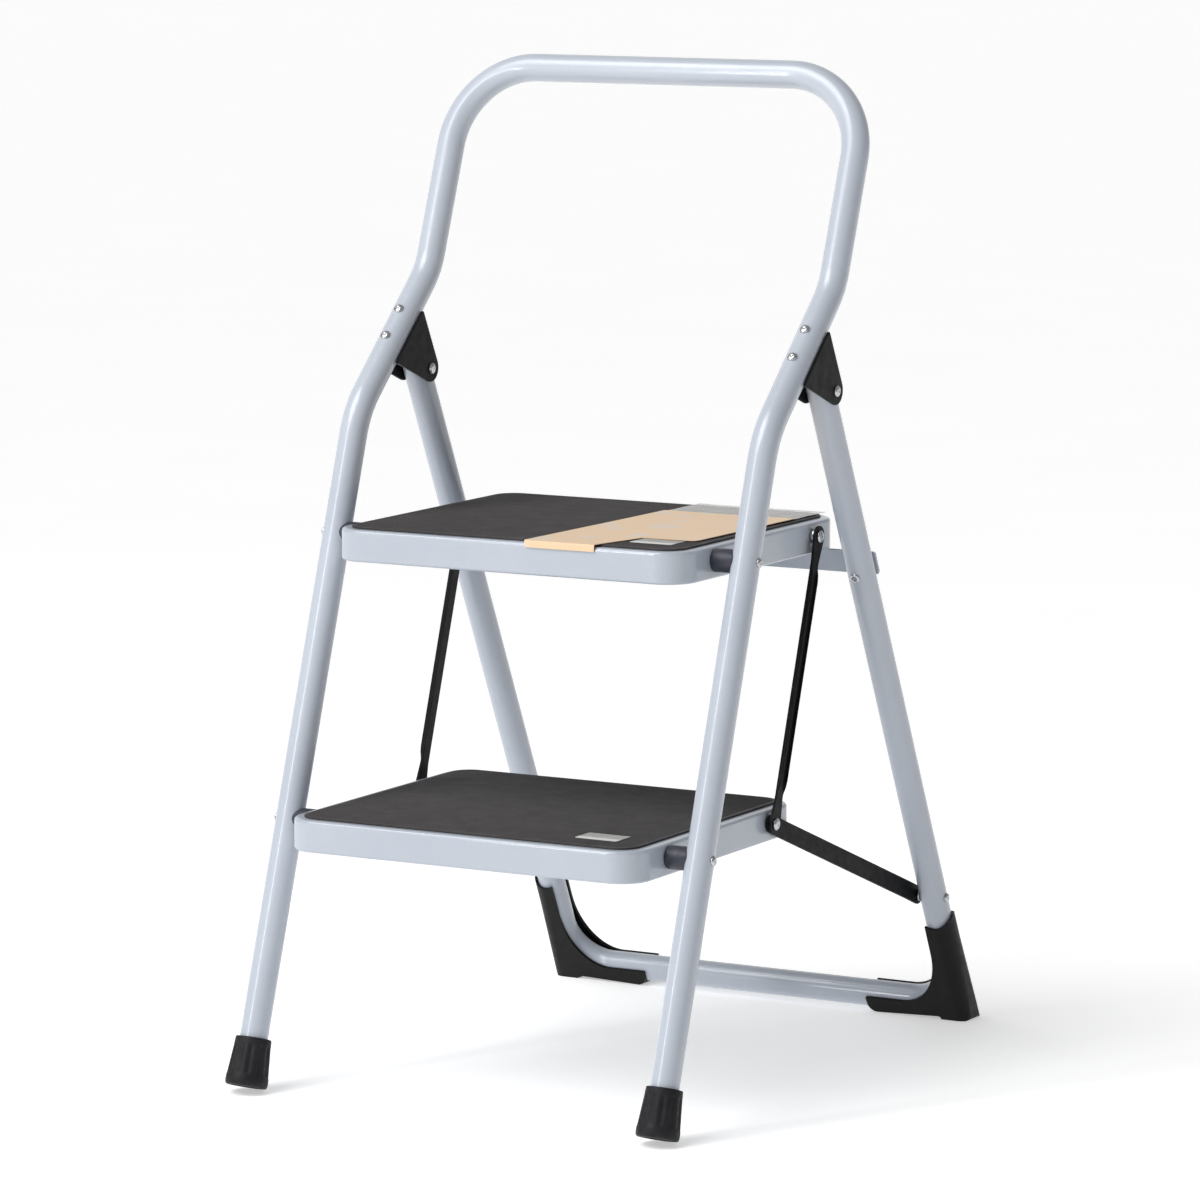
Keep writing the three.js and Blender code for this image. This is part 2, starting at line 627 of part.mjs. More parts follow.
function links() {
  const upperEnd = { y: upperPivot.y + linkPivotBehind, z: upperPivot.z };
  const lowerEnd = { y: lowerPivot.y + linkPivotBehind, z: lowerPivot.z };
  const dropLength = Math.hypot(upperEnd.y - lowerEnd.y, upperEnd.z - lowerEnd.z);
  const dropOuterX = dropLink.x + dropLink.thickness;
  const flangeFrom = dropLink.neck + 4;
  const flangeOuter = dropLink.width / 2 - 0.2;
  const flanges = [-flangeOuter, flangeOuter - dropLink.flange].map((y) => solid(plate(
    rectangle(flangeFrom, y, dropLength - flangeFrom, y + dropLink.flange),
    dropOuterX - 1, dropLink.x + dropLink.depth, sideView)));
  const dropBar = barShape(dropLength, dropLink.width, dropLink.eye, dropLink.neck);
  const drop = geometryOf(join(
    solid(plate(dropBar, dropLink.x, dropOuterX, sideView, 8)), ...flanges));

  // The lower link is bent outwards between its two ends, to reach the rear leg.
  const length = Math.hypot(lowerLinkEnd.y - lowerEnd.y, lowerLinkEnd.z - lowerEnd.z);
  const { width, thickness, x, xAtLeg } = lowerLink;
  const flat = 22;
  const bend = outline([[-20, x], [flat, x], [length - flat, xAtLeg], [length + 20, xAtLeg],
    [length + 20, xAtLeg + thickness], [length - flat, xAtLeg + thickness],
    [flat, x + thickness], [-20, x + thickness]].map(([along, across]) => [-along, across]).reverse());
  const bendView = frameOf(point(0, -1, 0), xAxis);
  const lower = geometryOf(solid(plate(barShape(length, width), x - 5, xAtLeg + 10, sideView, 6))
    .intersect(solid(plate(bend, -20, 20, bendView))));

  // Link half of each open pivot: it stops just short of the leg.
  const stubFrom = xAtLeg - gap;
  const stubCollar = [thickness + 2 * gap, legInnerX - gap - stubFrom, 5.5];
  const stub = rivet(legRivet, legInnerX - gap - stubFrom, { collar: stubCollar, farHead: false });

  for (const [side, sign] of sides) {
    const sided = (geometry) => (sign > 0 ? geometry : mirrored(geometry));
    aimed(piece(`drop_link_${side}`, sided(drop), blackSteel, stool), upperEnd, lowerEnd);
    aimed(piece(`lower_link_${side}`, sided(lower), blackSteel, stool), lowerEnd, lowerLinkEnd);
    sideRivet(`lower_link_stub_${side}`, stub, sign, stubFrom, lowerLinkEnd, stool);
  }
}

// ---------------------------------------------------------------- assembly
frontTube();
frontFeet();
stepPivots();
hingeBrackets();
rearTube();
rearCrossbar();
legLinkRivets();
rearFeet();
treads();
links();

// The origin is the middle of the footprint, on the floor.
const box = new THREE.Box3().setFromObject(stool, true);
stool.position.set(0, -(box.min.y + box.max.y) / 2, -box.min.z);

export default stool;
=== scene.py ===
"""Looks of the folding two-tread step stool. Lengths are in millimetres until a mesh is made."""

import math

import bmesh
import bpy
from mathutils import Matrix, Vector


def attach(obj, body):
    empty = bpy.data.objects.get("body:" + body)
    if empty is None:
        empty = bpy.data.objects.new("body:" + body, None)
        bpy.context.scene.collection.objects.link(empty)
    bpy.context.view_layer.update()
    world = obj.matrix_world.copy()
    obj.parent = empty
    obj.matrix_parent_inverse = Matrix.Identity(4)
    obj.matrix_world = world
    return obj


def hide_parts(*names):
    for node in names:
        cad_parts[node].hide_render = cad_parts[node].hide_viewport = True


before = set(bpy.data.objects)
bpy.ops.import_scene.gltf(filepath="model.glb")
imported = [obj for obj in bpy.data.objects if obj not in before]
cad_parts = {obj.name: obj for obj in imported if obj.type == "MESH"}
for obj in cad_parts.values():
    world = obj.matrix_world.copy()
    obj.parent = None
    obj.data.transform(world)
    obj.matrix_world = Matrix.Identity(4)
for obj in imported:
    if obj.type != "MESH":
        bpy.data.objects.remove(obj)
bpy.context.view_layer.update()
MM = 0.001
SIDES = (("left", -1), ("right", 1))

# ------------------------------------------------------------------ places, as in the CAD frame
X_AXIS = Vector((1, 0, 0))
FIT = 0.3  # between a rivet's head or a strip and what it lies against
TUBE_R, TUBE_WALL, LEG_X = 12.5, 1.4, 205.0
TUBE_FACE = TUBE_R + FIT
SHANK_R, HOLE_R = 3.0, 3.2
Y0 = -296.654  # y of the front legs' foot, where their centre line meets the floor
KNEE = (Y0 + 194.5, 582.4, 90.0)
SHOULDER = (Y0 + 319.0, 699.6, 70.0)
HANDLE = (Y0 + 386.5, 880.4, 75.0)
HINGE = (Y0 + 298.2, 611.9)
REAR_BAR = (Y0 + 583.6, 16.0)
REAR_BEND = 45.0
LEG_UP = Vector((0, KNEE[0] - Y0, KNEE[1])).normalized()


def on_front_leg(z):
    return (Y0 + z * LEG_UP.y / LEG_UP.z, z)


UPPER, LOWER = on_front_leg(477.0), on_front_leg(232.0)
LINK_BEHIND = 183.0
UPPER_LINK, LOWER_LINK = ((y + LINK_BEHIND, z) for y, z in (UPPER, LOWER))
REAR_UP = Vector((0, HINGE[0] - REAR_BAR[0], HINGE[1] - REAR_BAR[1])).normalized()
REAR_FACE = Vector((0, REAR_UP.z, -REAR_UP.y))
LINK_FOOT_Z = 124.0
LINK_FOOT = (REAR_BAR[0] + (LINK_FOOT_Z - REAR_BAR[1]) * REAR_UP.y / REAR_UP.z, LINK_FOOT_Z)
SLOPE_UP = Vector((0, SHOULDER[0] - KNEE[0], SHOULDER[1] - KNEE[1])).normalized()
SLOPE_BACK = Vector((0, SLOPE_UP.z, -SLOPE_UP.y))
TRAY = {"half": 175.0, "front": -60.6, "rear": 237.4, "top": 12.2, "bottom": -16.0, "wall": 1.5,
        "r_front": 28.0, "r_rear": 26.0}
MAT = {"half": 166.0, "front": -52.6, "rear": 231.4, "bottom": 12.3, "top": 14.1,
       "r_front": 20.0, "r_rear": 20.0}
LABEL = {"left": {"upper": 106, "lower": 98}, "width": 41, "front": -27, "rear": -1, "corner": 1.5}
# near and far are how far its faces stand behind the rear frame's middle plane.
CROSSBAR = {"half": 215.0, "height": 23.0, "near": TUBE_FACE, "far": 15.3, "corner": 3.0}
# The crossbar's top edge, just under the upper tray, as a distance up the rear leg.
CROSSBAR_TOP = (UPPER[1] + TRAY["bottom"] - FIT - REAR_BAR[1] - REAR_FACE.z * CROSSBAR["far"]) / REAR_UP.z


def rear_point(x, along, back):
    """A point by its distances up the rear frame and behind the frame's middle plane."""
    return Vector((x, *REAR_BAR)) + REAR_UP * along + REAR_FACE * back


# ------------------------------------------------------------------ materials
def srgb(r, g, b):
    def lin(c):
        c /= 255
        return c / 12.92 if c <= 0.04045 else ((c + 0.055) / 1.055) ** 2.4

    return (lin(r), lin(g), lin(b), 1)


class Nodes:
    """One node material, with short calls for the nodes that the stool's surfaces use."""

    def __init__(self, name):
        self.mat = bpy.data.materials.new(name)
        self.mat.use_nodes = True
        self.tree = self.mat.node_tree
        self.shader = self.tree.nodes["Principled BSDF"]
        self.coord = self.add("ShaderNodeTexCoord").outputs["Object"]

    def add(self, kind, **values):
        node = self.tree.nodes.new(kind)
        for key, value in values.items():
            if hasattr(node, key):
                setattr(node, key, value)
            else:
                node.inputs[key].default_value = value
        return node

    def link(self, out, into):
        self.tree.links.new(out, into)

    def set(self, **values):
        for key, value in values.items():
            self.shader.inputs[key.replace("_", " ")].default_value = value

    def scaled(self, scale):
        mapping = self.add("ShaderNodeMapping")
        mapping.inputs["Scale"].default_value = scale
        self.link(self.coord, mapping.inputs["Vector"])
        return mapping.outputs["Vector"]

    def noise(self, scale, detail=3.0, roughness=0.5, vector=None):
        node = self.add("ShaderNodeTexNoise", Scale=scale, Detail=detail, Roughness=roughness)
        self.link(vector or self.coord, node.inputs["Vector"])
        return node.outputs["Fac"]

    def ramp(self, fac, *stops):
        node = self.add("ShaderNodeValToRGB")
        elements = node.color_ramp.elements
        while len(elements) < len(stops):
            elements.new(0.5)
        for element, (at, colour) in zip(elements, stops):
            element.position = at
            element.color = colour
        self.link(fac, node.inputs["Fac"])
        return node.outputs["Color"]

    def span(self, fac, low, high):
        """fac, from about 0.3 to 0.7 for noise, mapped to low to high."""
        node = self.add("ShaderNodeMapRange")
        for key, value in (("From Min", 0.3), ("From Max", 0.7), ("To Min", low), ("To Max", high)):
            node.inputs[key].default_value = value
        self.link(fac, node.inputs["Value"])
        return node.outputs["Result"]

    def math(self, operation, a, b=None):
        node = self.add("ShaderNodeMath")
        node.operation = operation
        for socket, value in zip(node.inputs, (a, b)):
            if value is None:
                continue
            if isinstance(value, (int, float)):
                socket.default_value = value
            else:
                self.link(value, socket)
        return node.outputs[0]

    def mix(self, fac, a, b):
        node = self.add("ShaderNodeMix")
        node.data_type = "RGBA"
        for name, value in (("Factor", fac), ("A", a), ("B", b)):
            sockets = [s for s in node.inputs if s.name == name and s.enabled]
            if isinstance(value, (int, float, tuple)):
                sockets[0].default_value = value
            else:
                self.link(value, sockets[0])
        return [s for s in node.outputs if s.enabled][0]

    def bump(self, height, strength, distance, normal=None):
        node = self.add("ShaderNodeBump", Strength=strength, Distance=distance)
        self.link(height, node.inputs["Height"])
        if normal is not None:
            self.link(normal, node.inputs["Normal"])
        return node.outputs["Normal"]

    def edge_wear(self, radius, low, high):
        """1 on convex edges and 0 elsewhere, from the difference of a bevelled normal."""
        bevel = self.add("ShaderNodeBevel", Radius=radius)
        bevel.samples = 4
        geometry = self.add("ShaderNodeNewGeometry")
        dot = self.add("ShaderNodeVectorMath")
        dot.operation = "DOT_PRODUCT"
        self.link(bevel.outputs["Normal"], dot.inputs[0])
        self.link(geometry.outputs["Normal"], dot.inputs[1])
        node = self.add("ShaderNodeMapRange")
        for key, value in (("From Min", high), ("From Max", low), ("To Min", 0.0), ("To Max", 1.0)):
            node.inputs[key].default_value = value
        self.link(dot.outputs["Value"], node.inputs["Value"])
        return node.outputs["Result"]

    def out(self, socket, name):
        self.link(socket, self.shader.inputs[name])


def powder_coat(name, shade):
    """Pale blue-grey powder coat: satin, with a fine orange peel and faint clouds. shade darkens its colour
    by that many sRGB steps, as painted shade.
    """
    n = Nodes(name)
    cloud = n.noise(9, 4, 0.55)
    fine = n.noise(260, 2)
    base = n.ramp(cloud, (0.3, srgb(188 - shade, 195 - shade, 206 - shade)),
                  (0.7, srgb(194 - shade, 201 - shade, 211 - shade)))
    n.out(n.mix(n.span(fine, 0.0, 0.16), base, srgb(179 - shade, 186 - shade, 199 - shade)), "Base Color")
    n.out(n.span(n.noise(38, 3), 0.30, 0.39), "Roughness")
    peel = n.noise(620, 2, 0.4)
    grain = n.noise(2400, 1, 0.5)
    n.out(n.bump(grain, 0.06, 0.0002, n.bump(peel, 0.16, 0.0004)), "Normal")
    n.set(Coat_Weight=0.6, Coat_Roughness=0.13, Specular_IOR_Level=0.5)
    return n.mat


def black_steel():
    """Black powder-coated steel of the links and hinge brackets, with slightly greyer rubbed edges."""
    n = Nodes("black_steel")
    patch = n.noise(45, 4, 0.6)
    base = n.ramp(patch, (0.3, srgb(13, 13, 15)), (0.7, srgb(22, 21, 23)))
    worn = n.math("MULTIPLY", n.edge_wear(0.0009, 0.80, 0.97), n.span(n.noise(300, 3), 0.1, 0.75))
    n.out(n.mix(worn, base, srgb(58, 58, 60)), "Base Color")
    n.out(n.span(n.noise(120, 3), 0.38, 0.52), "Roughness")
    n.out(n.bump(n.noise(900, 2), 0.22, 0.0005), "Normal")
    n.set(Specular_IOR_Level=0.12)
    return n.mat


def foot_plastic():
    """Moulded black plastic of the rear feet, with a fine spark-eroded grain."""
    n = Nodes("foot_plastic")
    base = n.ramp(n.noise(30, 4), (0.3, srgb(8, 8, 9)), (0.7, srgb(14, 14, 15)))
    worn = n.math("MULTIPLY", n.edge_wear(0.0012, 0.78, 0.97), n.span(n.noise(210, 3), 0.0, 0.5))
    n.out(n.mix(worn, base, srgb(42, 42, 44)), "Base Color")
    n.out(n.span(n.noise(160, 3), 0.42, 0.56), "Roughness")
    n.out(n.bump(n.noise(1500, 2, 0.6), 0.25, 0.0004), "Normal")
    n.set(Specular_IOR_Level=0.22)
    return n.mat


def ferrule_rubber():
    """Dark grey rubber of the front ferrules, dusty in its flutes."""
    n = Nodes("ferrule_rubber")
    cloud = n.noise(70, 4, 0.6)
    base = n.ramp(cloud, (0.3, srgb(18, 17, 20)), (0.7, srgb(32, 30, 34)))
    worn = n.math("MULTIPLY", n.edge_wear(0.0012, 0.82, 0.98), n.span(n.noise(260, 3), 0.0, 0.6))
    n.out(n.mix(worn, base, srgb(70, 68, 72)), "Base Color")
    n.out(n.span(n.noise(190, 3), 0.50, 0.68), "Roughness")
    n.out(n.bump(n.noise(1300, 3, 0.6), 0.3, 0.0005), "Normal")
    n.set(Specular_IOR_Level=0.32)
    return n.mat


def tread_rubber():
    """Charcoal rubber of the tread mats: fine grain, faint cloudy wear and scuffs across it."""
    n = Nodes("tread_rubber")
    cloud = n.noise(7, 5, 0.6)
    base = n.ramp(cloud, (0.3, srgb(50, 47, 48)), (0.7, srgb(62, 59, 59)))
    scuffs = n.noise(1, 4, 0.65, n.scaled((5, 46, 30)))
    base = n.mix(n.span(scuffs, 0.0, 0.35), base, srgb(46, 44, 45))
    fine = n.noise(900, 3, 0.6)
    n.out(n.mix(n.span(fine, 0.0, 0.3), base, srgb(80, 77, 77)), "Base Color")
    n.out(n.span(n.noise(60, 4), 0.52, 0.66), "Roughness")
    n.out(n.bump(fine, 0.35, 0.0005), "Normal")
    n.set(Specular_IOR_Level=0.3, Sheen_Weight=0.03, Sheen_Roughness=0.5)
    return n.mat


def zinc():
    """Bright zinc-plated rivets with turning marks and dulled patches."""
    n = Nodes("zinc_plate")
    patch = n.noise(420, 3)
    n.out(n.ramp(patch, (0.3, srgb(176, 178, 182)), (0.7, srgb(216, 217, 220))), "Base Color")
    n.out(n.span(n.noise(700, 3), 0.22, 0.4), "Roughness")
    n.out(n.bump(n.noise(2600, 2), 0.15, 0.0002), "Normal")
    n.set(Metallic=1.0)
    return n.mat


def spacer_plastic():
    """Dark blue-grey plastic of the spacers."""
    n = Nodes("spacer_plastic")
    n.out(n.ramp(n.noise(120, 3), (0.3, srgb(50, 52, 63)), (0.7, srgb(62, 63, 75))), "Base Color")
    n.out(n.span(n.noise(300, 3), 0.40, 0.55), "Roughness")
    n.out(n.bump(n.noise(1600, 2), 0.2, 0.0003), "Normal")
    n.set(Specular_IOR_Level=0.45)
    return n.mat


def card_print():
    """Kraft-yellow printed card with fibres and a few pale, generic patches of ink."""
    n = Nodes("card_print")
    fibres = n.noise(1, 4, 0.6, n.scaled((380, 120, 120)))
    base = n.mix(n.span(fibres, 0.0, 0.6), srgb(238, 207, 170), srgb(231, 197, 157))
    blots = n.noise(30, 1, 0.4)
    ink = n.ramp(blots, (0.60, (0, 0, 0, 1)), (0.66, (1, 1, 1, 1)))
    n.out(n.mix(n.math("MULTIPLY", ink, 0.55), base, srgb(222, 212, 205)), "Base Color")
    n.out(n.span(n.noise(500, 3), 0.45, 0.6), "Roughness")
    n.out(n.bump(fibres, 0.12, 0.0002), "Normal")
    n.set(Specular_IOR_Level=0.45, Coat_Weight=0.2, Coat_Roughness=0.3)
    return n.mat


def clear_film():
    """Thin clear plastic film, slightly milky, with faint creases."""
    n = Nodes("clear_film")
    crease = n.noise(1, 3, 0.5, n.scaled((30, 90, 30)))
    n.out(n.ramp(n.noise(25, 3), (0.3, srgb(192, 192, 187)), (0.7, srgb(208, 208, 203))), "Base Color")
    n.out(n.span(n.noise(80, 3), 0.12, 0.26), "Roughness")
    n.out(n.span(n.noise(18, 3), 0.50, 0.64), "Alpha")
    n.out(n.bump(crease, 0.14, 0.0008), "Normal")
    n.set(Specular_IOR_Level=0.6)
    return n.mat


def foil_label():
    """Small plain silver-grey label with a pale band along its front."""
    n = Nodes("foil_label")
    brushed = n.noise(1, 3, 0.5, n.scaled((60, 1600, 60)))
    base = n.ramp(brushed, (0.3, srgb(146, 145, 140)), (0.7, srgb(166, 165, 159)))
    split = n.add("ShaderNodeSeparateXYZ")
    n.link(n.add("ShaderNodeTexCoord").outputs["Generated"], split.inputs[0])
    band = n.ramp(split.outputs["Y"], (0.30, (1, 1, 1, 1)), (0.34, (0, 0, 0, 1)))
    n.out(n.mix(band, base, srgb(222, 222, 218)), "Base Color")
    n.out(n.span(n.noise(200, 3), 0.30, 0.42), "Roughness")
    n.out(n.bump(brushed, 0.1, 0.0002), "Normal")
    n.set(Metallic=0.35)
    return n.mat


# The second copy is the same paint darkened by 10, painted shade for the rear frame tube, its crossbar and
# the trays.
PAINT, SHADED_PAINT = powder_coat("powder_coat", 0), powder_coat("powder_coat_painted_shade", 10)
STEEL, PLASTIC, FERRULE = black_steel(), foot_plastic(), ferrule_rubber()
RUBBER, ZINC, SPACER = tread_rubber(), zinc(), spacer_plastic()
CARD, FILM, FOIL = card_print(), clear_film(), foil_label()


# ------------------------------------------------------------------ mesh helpers
def add_object(data, name="piece"):
    obj = bpy.data.objects.new(name, data)
    bpy.context.scene.collection.objects.link(obj)
    return obj


def piece(shape, name, body, material, sharp=34, weighted=True):
    """One visible piece, riding on its body and standing for the CAD node of the same name."""
    obj = add_object(mesh_of(*shape), name + ".fine")
    obj.data.name = obj.name
    obj.data.materials.append(material)
    obj.data.shade_smooth()
    obj.data.set_sharp_from_angle(angle=math.radians(sharp))
    if weighted:
        modifier = obj.modifiers.new("weighted", "WEIGHTED_NORMAL")
        modifier.keep_sharp = True
    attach(obj, body)
    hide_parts(name)


def mesh_of(points, faces):
    """A mesh in metres from points in millimetres, its normals facing out."""
    mesh = bpy.data.meshes.new("piece")
    mesh.from_pydata([tuple(c * MM for c in p) for p in points], [], faces)
    mesh.validate()
    bm = bmesh.new()
    bm.from_mesh(mesh)
    bmesh.ops.remove_doubles(bm, verts=bm.verts, dist=1e-7)
    bmesh.ops.recalc_face_normals(bm, faces=bm.faces)
    bm.to_mesh(mesh)
    bm.free()
    return mesh


def loft(rings, close=False):
    """Quads between rings of as many points each. The ends are capped, or joined to each other by close."""
    count = len(rings[0])
    points = [p for ring in rings for p in ring]
    faces = []
    last = len(rings) if close else len(rings) - 1
    for i in range(last):
        a, b = i * count, ((i + 1) % len(rings)) * count
        for k in range(count):
            m = (k + 1) % count
            faces.append((a + k, a + m, b + m, b + k))
    if not close:
        faces.append(tuple(range(count)))
        faces.append(tuple(range(len(points) - count, len(points))))
    return points, faces


def route(corners):
    """Points and tangents along straight stretches and round bends. corners are (point, bend radius)."""
    degrees_per_step = 3.0
    out = []
    for i, (at, bend) in enumerate(corners):
        if i in (0, len(corners) - 1):
            other = corners[1 if i == 0 else -2][0]
            tangent = (other - at if i == 0 else at - other).normalized()
            out.append((at, tangent))
            continue
        into = (at - corners[i - 1][0]).normalized()
        away = (corners[i + 1][0] - at).normalized()
        turn = into.angle(away)
        side = (away - into * away.dot(into)).normalized()
        start = at - into * bend * math.tan(turn / 2)
        steps = max(2, math.ceil(math.degrees(turn) / degrees_per_step))
        for k in range(steps + 1):
            a = turn * k / steps
            out.append((start + into * bend * math.sin(a) + side * bend * (1 - math.cos(a)),
                        into * math.cos(a) + side * math.sin(a)))
    return out


def tube(corners, radius=TUBE_R, wall=TUBE_WALL):
    """A hollow tube with slightly rounded ends, or a solid rod if wall is 0."""
    around, soft = 48, 0.4
    stations = route(corners)
    normal = stations[0][1].orthogonal().normalized()
    frames = []
    previous = stations[0][1]
    for at, tangent in stations:
        normal = previous.rotation_difference(tangent) @ normal
        normal = (normal - tangent * normal.dot(tangent)).normalized()
        frames.append((at, tangent, normal, tangent.cross(normal)))
        previous = tangent

    def ring(frame_at, r, shift=0.0):
        at, tangent, u, v = frame_at
        centre = at + tangent * shift
        return [centre + u * r * math.cos(2 * math.pi * k / around)
                + v * r * math.sin(2 * math.pi * k / around) for k in range(around)]

    outer = ([ring(frames[0], radius - soft), ring(frames[0], radius, soft)]
             + [ring(f, radius) for f in frames[1:-1]]
             + [ring(frames[-1], radius, -soft), ring(frames[-1], radius - soft)])
    if wall == 0:
        return loft(outer)
    inner = [ring(f, radius - wall) for f in reversed(frames)]
    return loft(outer + inner, close=True)


def lathe(profile, around, radius_at=None):
    """A closed solid of revolution about z. profile is (r, h) from axis to axis, and radius_at may vary r."""
    rings, points, faces = [], [], []
    for r, h in profile:
        if r < 1e-6:
            rings.append([len(points)])
            points.append(Vector((0, 0, h)))
            continue
        ring = []
        for k in range(around):
            a = 2 * math.pi * k / around
            rr = radius_at(r, h, a) if radius_at else r
            ring.append(len(points))
            points.append(Vector((rr * math.cos(a), rr * math.sin(a), h)))
        rings.append(ring)
    for a, b in zip(rings, rings[1:]):
        for k in range(around):
            m = (k + 1) % around
            if len(a) == 1 and len(b) == 1:
                continue
            if len(a) == 1:
                faces.append((a[0], b[k], b[m]))
            elif len(b) == 1:
                faces.append((a[k], a[m], b[0]))
            else:
                faces.append((a[k], a[m], b[m], b[k]))
    return points, faces


def placed(shape, matrix):
    """The shape, moved by the matrix."""
    points, faces = shape
    return [matrix @ Vector(p) for p in points], faces


def merged(*shapes):
    """One shape of several."""
    points, faces = [], []
    for more, quads in shapes:
        base = len(points)
        points += list(more)
        faces += [tuple(i + base for i in f) for f in quads]
    return points, faces


def basis(x, y, z, origin=(0, 0, 0)):
    """A matrix whose columns are the three directions and the origin."""
    m = Matrix((x, y, z)).transposed().to_4x4()
    m.translation = Vector(origin)
    return m


def axis_frame(direction, origin):
    """A frame whose z runs along direction."""
    z = Vector(direction).normalized()
    x = z.orthogonal().normalized()
    return basis(x, z.cross(x), z, origin)


def arc(cx, cy, r, start, end, steps):
    return [(cx + r * math.cos(math.radians(start + (end - start) * k / steps)),
             cy + r * math.sin(math.radians(start + (end - start) * k / steps)))
            for k in range(steps + 1)]


def circle(cx, cy, r, steps):
    return arc(cx, cy, r, 0, 360 - 360 / steps, steps - 1)


def plate(loops, low, high, edge=0.4, segments=3):
    """A flat plate between two heights, with rounded edges. loops are its outline and its holes."""
    curve = bpy.data.curves.new("plate", "CURVE")
    curve.dimensions = "2D"
    curve.fill_mode = "BOTH"
    for loop in loops:
        spline = curve.splines.new("POLY")
        spline.points.add(len(loop) - 1)
        for point, (x, y) in zip(spline.points, loop):
            point.co = (x, y, 0, 1)
        spline.use_cyclic_u = True
    curve.extrude = (high - low) / 2 - edge
    curve.bevel_depth = edge
    curve.bevel_resolution = segments
    curve.offset = -edge
    obj = add_object(curve)
    bpy.context.view_layer.update()
    mesh = bpy.data.meshes.new_from_object(obj.evaluated_get(bpy.context.evaluated_depsgraph_get()))
    bpy.data.objects.remove(obj)
    middle = (low + high) / 2
    shape = ([Vector((v.co.x, v.co.y, v.co.z + middle)) for v in mesh.vertices],
             [tuple(p.vertices) for p in mesh.polygons])
    bpy.data.meshes.remove(mesh)
    return shape


def boxy(x0, y0, x1, y1, r):
    """A rectangle with round corners."""
    steps = 6
    return (arc(x1 - r, y0 + r, r, -90, 0, steps) + arc(x1 - r, y1 - r, r, 0, 90, steps)
            + arc(x0 + r, y1 - r, r, 90, 180, steps) + arc(x0 + r, y0 + r, r, 180, 270, steps))


def mirror(shape):
    points, faces = shape
    return [Vector((-p[0], p[1], p[2])) for p in points], [tuple(reversed(f)) for f in faces]


def sided(shape, sign):
    """A shape made for the right side, or its mirror image for the left."""
    return shape if sign > 0 else mirror(shape)


# ------------------------------------------------------------------ tubes
def frame_tubes():
    inside_ferrule, past_hinge = 5.84 + 6.3, 14
    foot = Vector((0, Y0, 0)) + LEG_UP * inside_ferrule
    left = [(Vector((-LEG_X, foot.y, foot.z)), 0)] + [
        (Vector((-LEG_X, y, z)), r) for y, z, r in (KNEE, SHOULDER, HANDLE)]
    right = [(Vector((-p.x, p.y, p.z)), r) for p, r in reversed(left)]
    piece(tube(left + right), "front_frame_tube", "front_frame", PAINT)
    top = Vector((0, *HINGE)) + REAR_UP * past_hinge
    corners = [(Vector((-LEG_X, top.y, top.z)), 0), (Vector((-LEG_X, *REAR_BAR)), REAR_BEND),
               (Vector((LEG_X, *REAR_BAR)), REAR_BEND), (Vector((LEG_X, top.y, top.z)), 0)]
    piece(tube(corners), "rear_frame_tube", "rear_frame", SHADED_PAINT)


# ------------------------------------------------------------------ ferrules
def ferrules():
    """Tapered rubber ends of the front legs, with shallow flutes round their sides."""
    flutes, depth, low, high = 12, 0.95, 8, 38

    def fluted(r, h, a):
        if r < 14 or not low < h < high:
            return r
        fade = min(1.0, (h - low) / 5, (high - h) / 3)
        fade = fade * fade * (3 - 2 * fade)
        wave = (0.5 + 0.5 * math.cos(flutes * a)) ** 1.6
        return r - depth * fade * wave

    heights = [8, 9, 10, 11, 12, 13.5, 16, 20, 24, 28, 32, 35, 36, 37, 38]
    profile = [(0, 0.6), (12.5, 0.6), (13.2, 0), (17.0, 0), (17.9, 0.5), (18.6, 1.8), (18.9, 4), (18.85, 6)]
    profile += [(18.8 - 2.75 * (h - 8) / 32, h) for h in heights]
    profile += [(15.98, 39.5), (15.95, 41.5), (15.7, 42.5), (15.2, 43), (13.4, 43), (12.9, 42.6),
                (12.8, 41.5), (12.8, 6), (0, 6)]
    shape = lathe(profile, 144, fluted)
    base = Vector((0, Y0, 0)) + LEG_UP * (17.5 * LEG_UP.y / LEG_UP.z)
    for side, sign in SIDES:
        m = basis(X_AXIS, LEG_UP.cross(X_AXIS), LEG_UP, (sign * LEG_X, base.y, base.z))
        piece(placed(shape, m), f"front_foot_{side}", "front_frame", FERRULE, sharp=50)


# ------------------------------------------------------------------ rivets and spacers
def head(radius, dome, skirt):
    """Half profile of a rivet's head, from its crown outwards and down to the skirt."""
    rows = [(0, dome - 0.32), (0.5, dome - 0.30), (0.95, dome - 0.1), (1.3, dome)]
    for k in range(1, 9):
        a = math.radians(90 * k / 8)
        rows.append((1.3 + (radius - 1.3) * math.sin(a), 0.25 + (dome - 0.25) * math.cos(a)))
    rows.append((radius - 0.05, 0.02))
    if skirt:
        rows.append((radius * 0.9, -skirt))
    return rows


def rivet(radius, dome, skirt, length, far=None, collar=None):
    """A rivet along z. Its near head points to -z with its seat at 0, and its far head's seat is at length.

    skirt and far are how deep each head reaches past its seat, round a tube. Without far it has no far head.
    collar is the start, end and radius of a shoulder on its shank.
    """
    profile = [(r, -h) for r, h in head(radius, dome, skirt)]
    profile.append((SHANK_R, skirt))
    if collar:
        start, end, wide = collar
        soft = 0.4
        profile += [(SHANK_R, start), (wide - soft, start), (wide, start + soft),
                    (wide, end - soft), (wide - soft, end), (SHANK_R, end)]
    if far is None:
        profile += [(SHANK_R, length), (0, length)]
    else:
        profile.append((SHANK_R, length - far))
        profile += [(r, length + h) for r, h in reversed(head(radius, dome, far))]
    return lathe(profile, 32)


def rivet_piece(name, shape, body, origin, direction):
    piece(placed(shape, axis_frame(direction, origin)), name, body, ZINC, sharp=48, weighted=False)


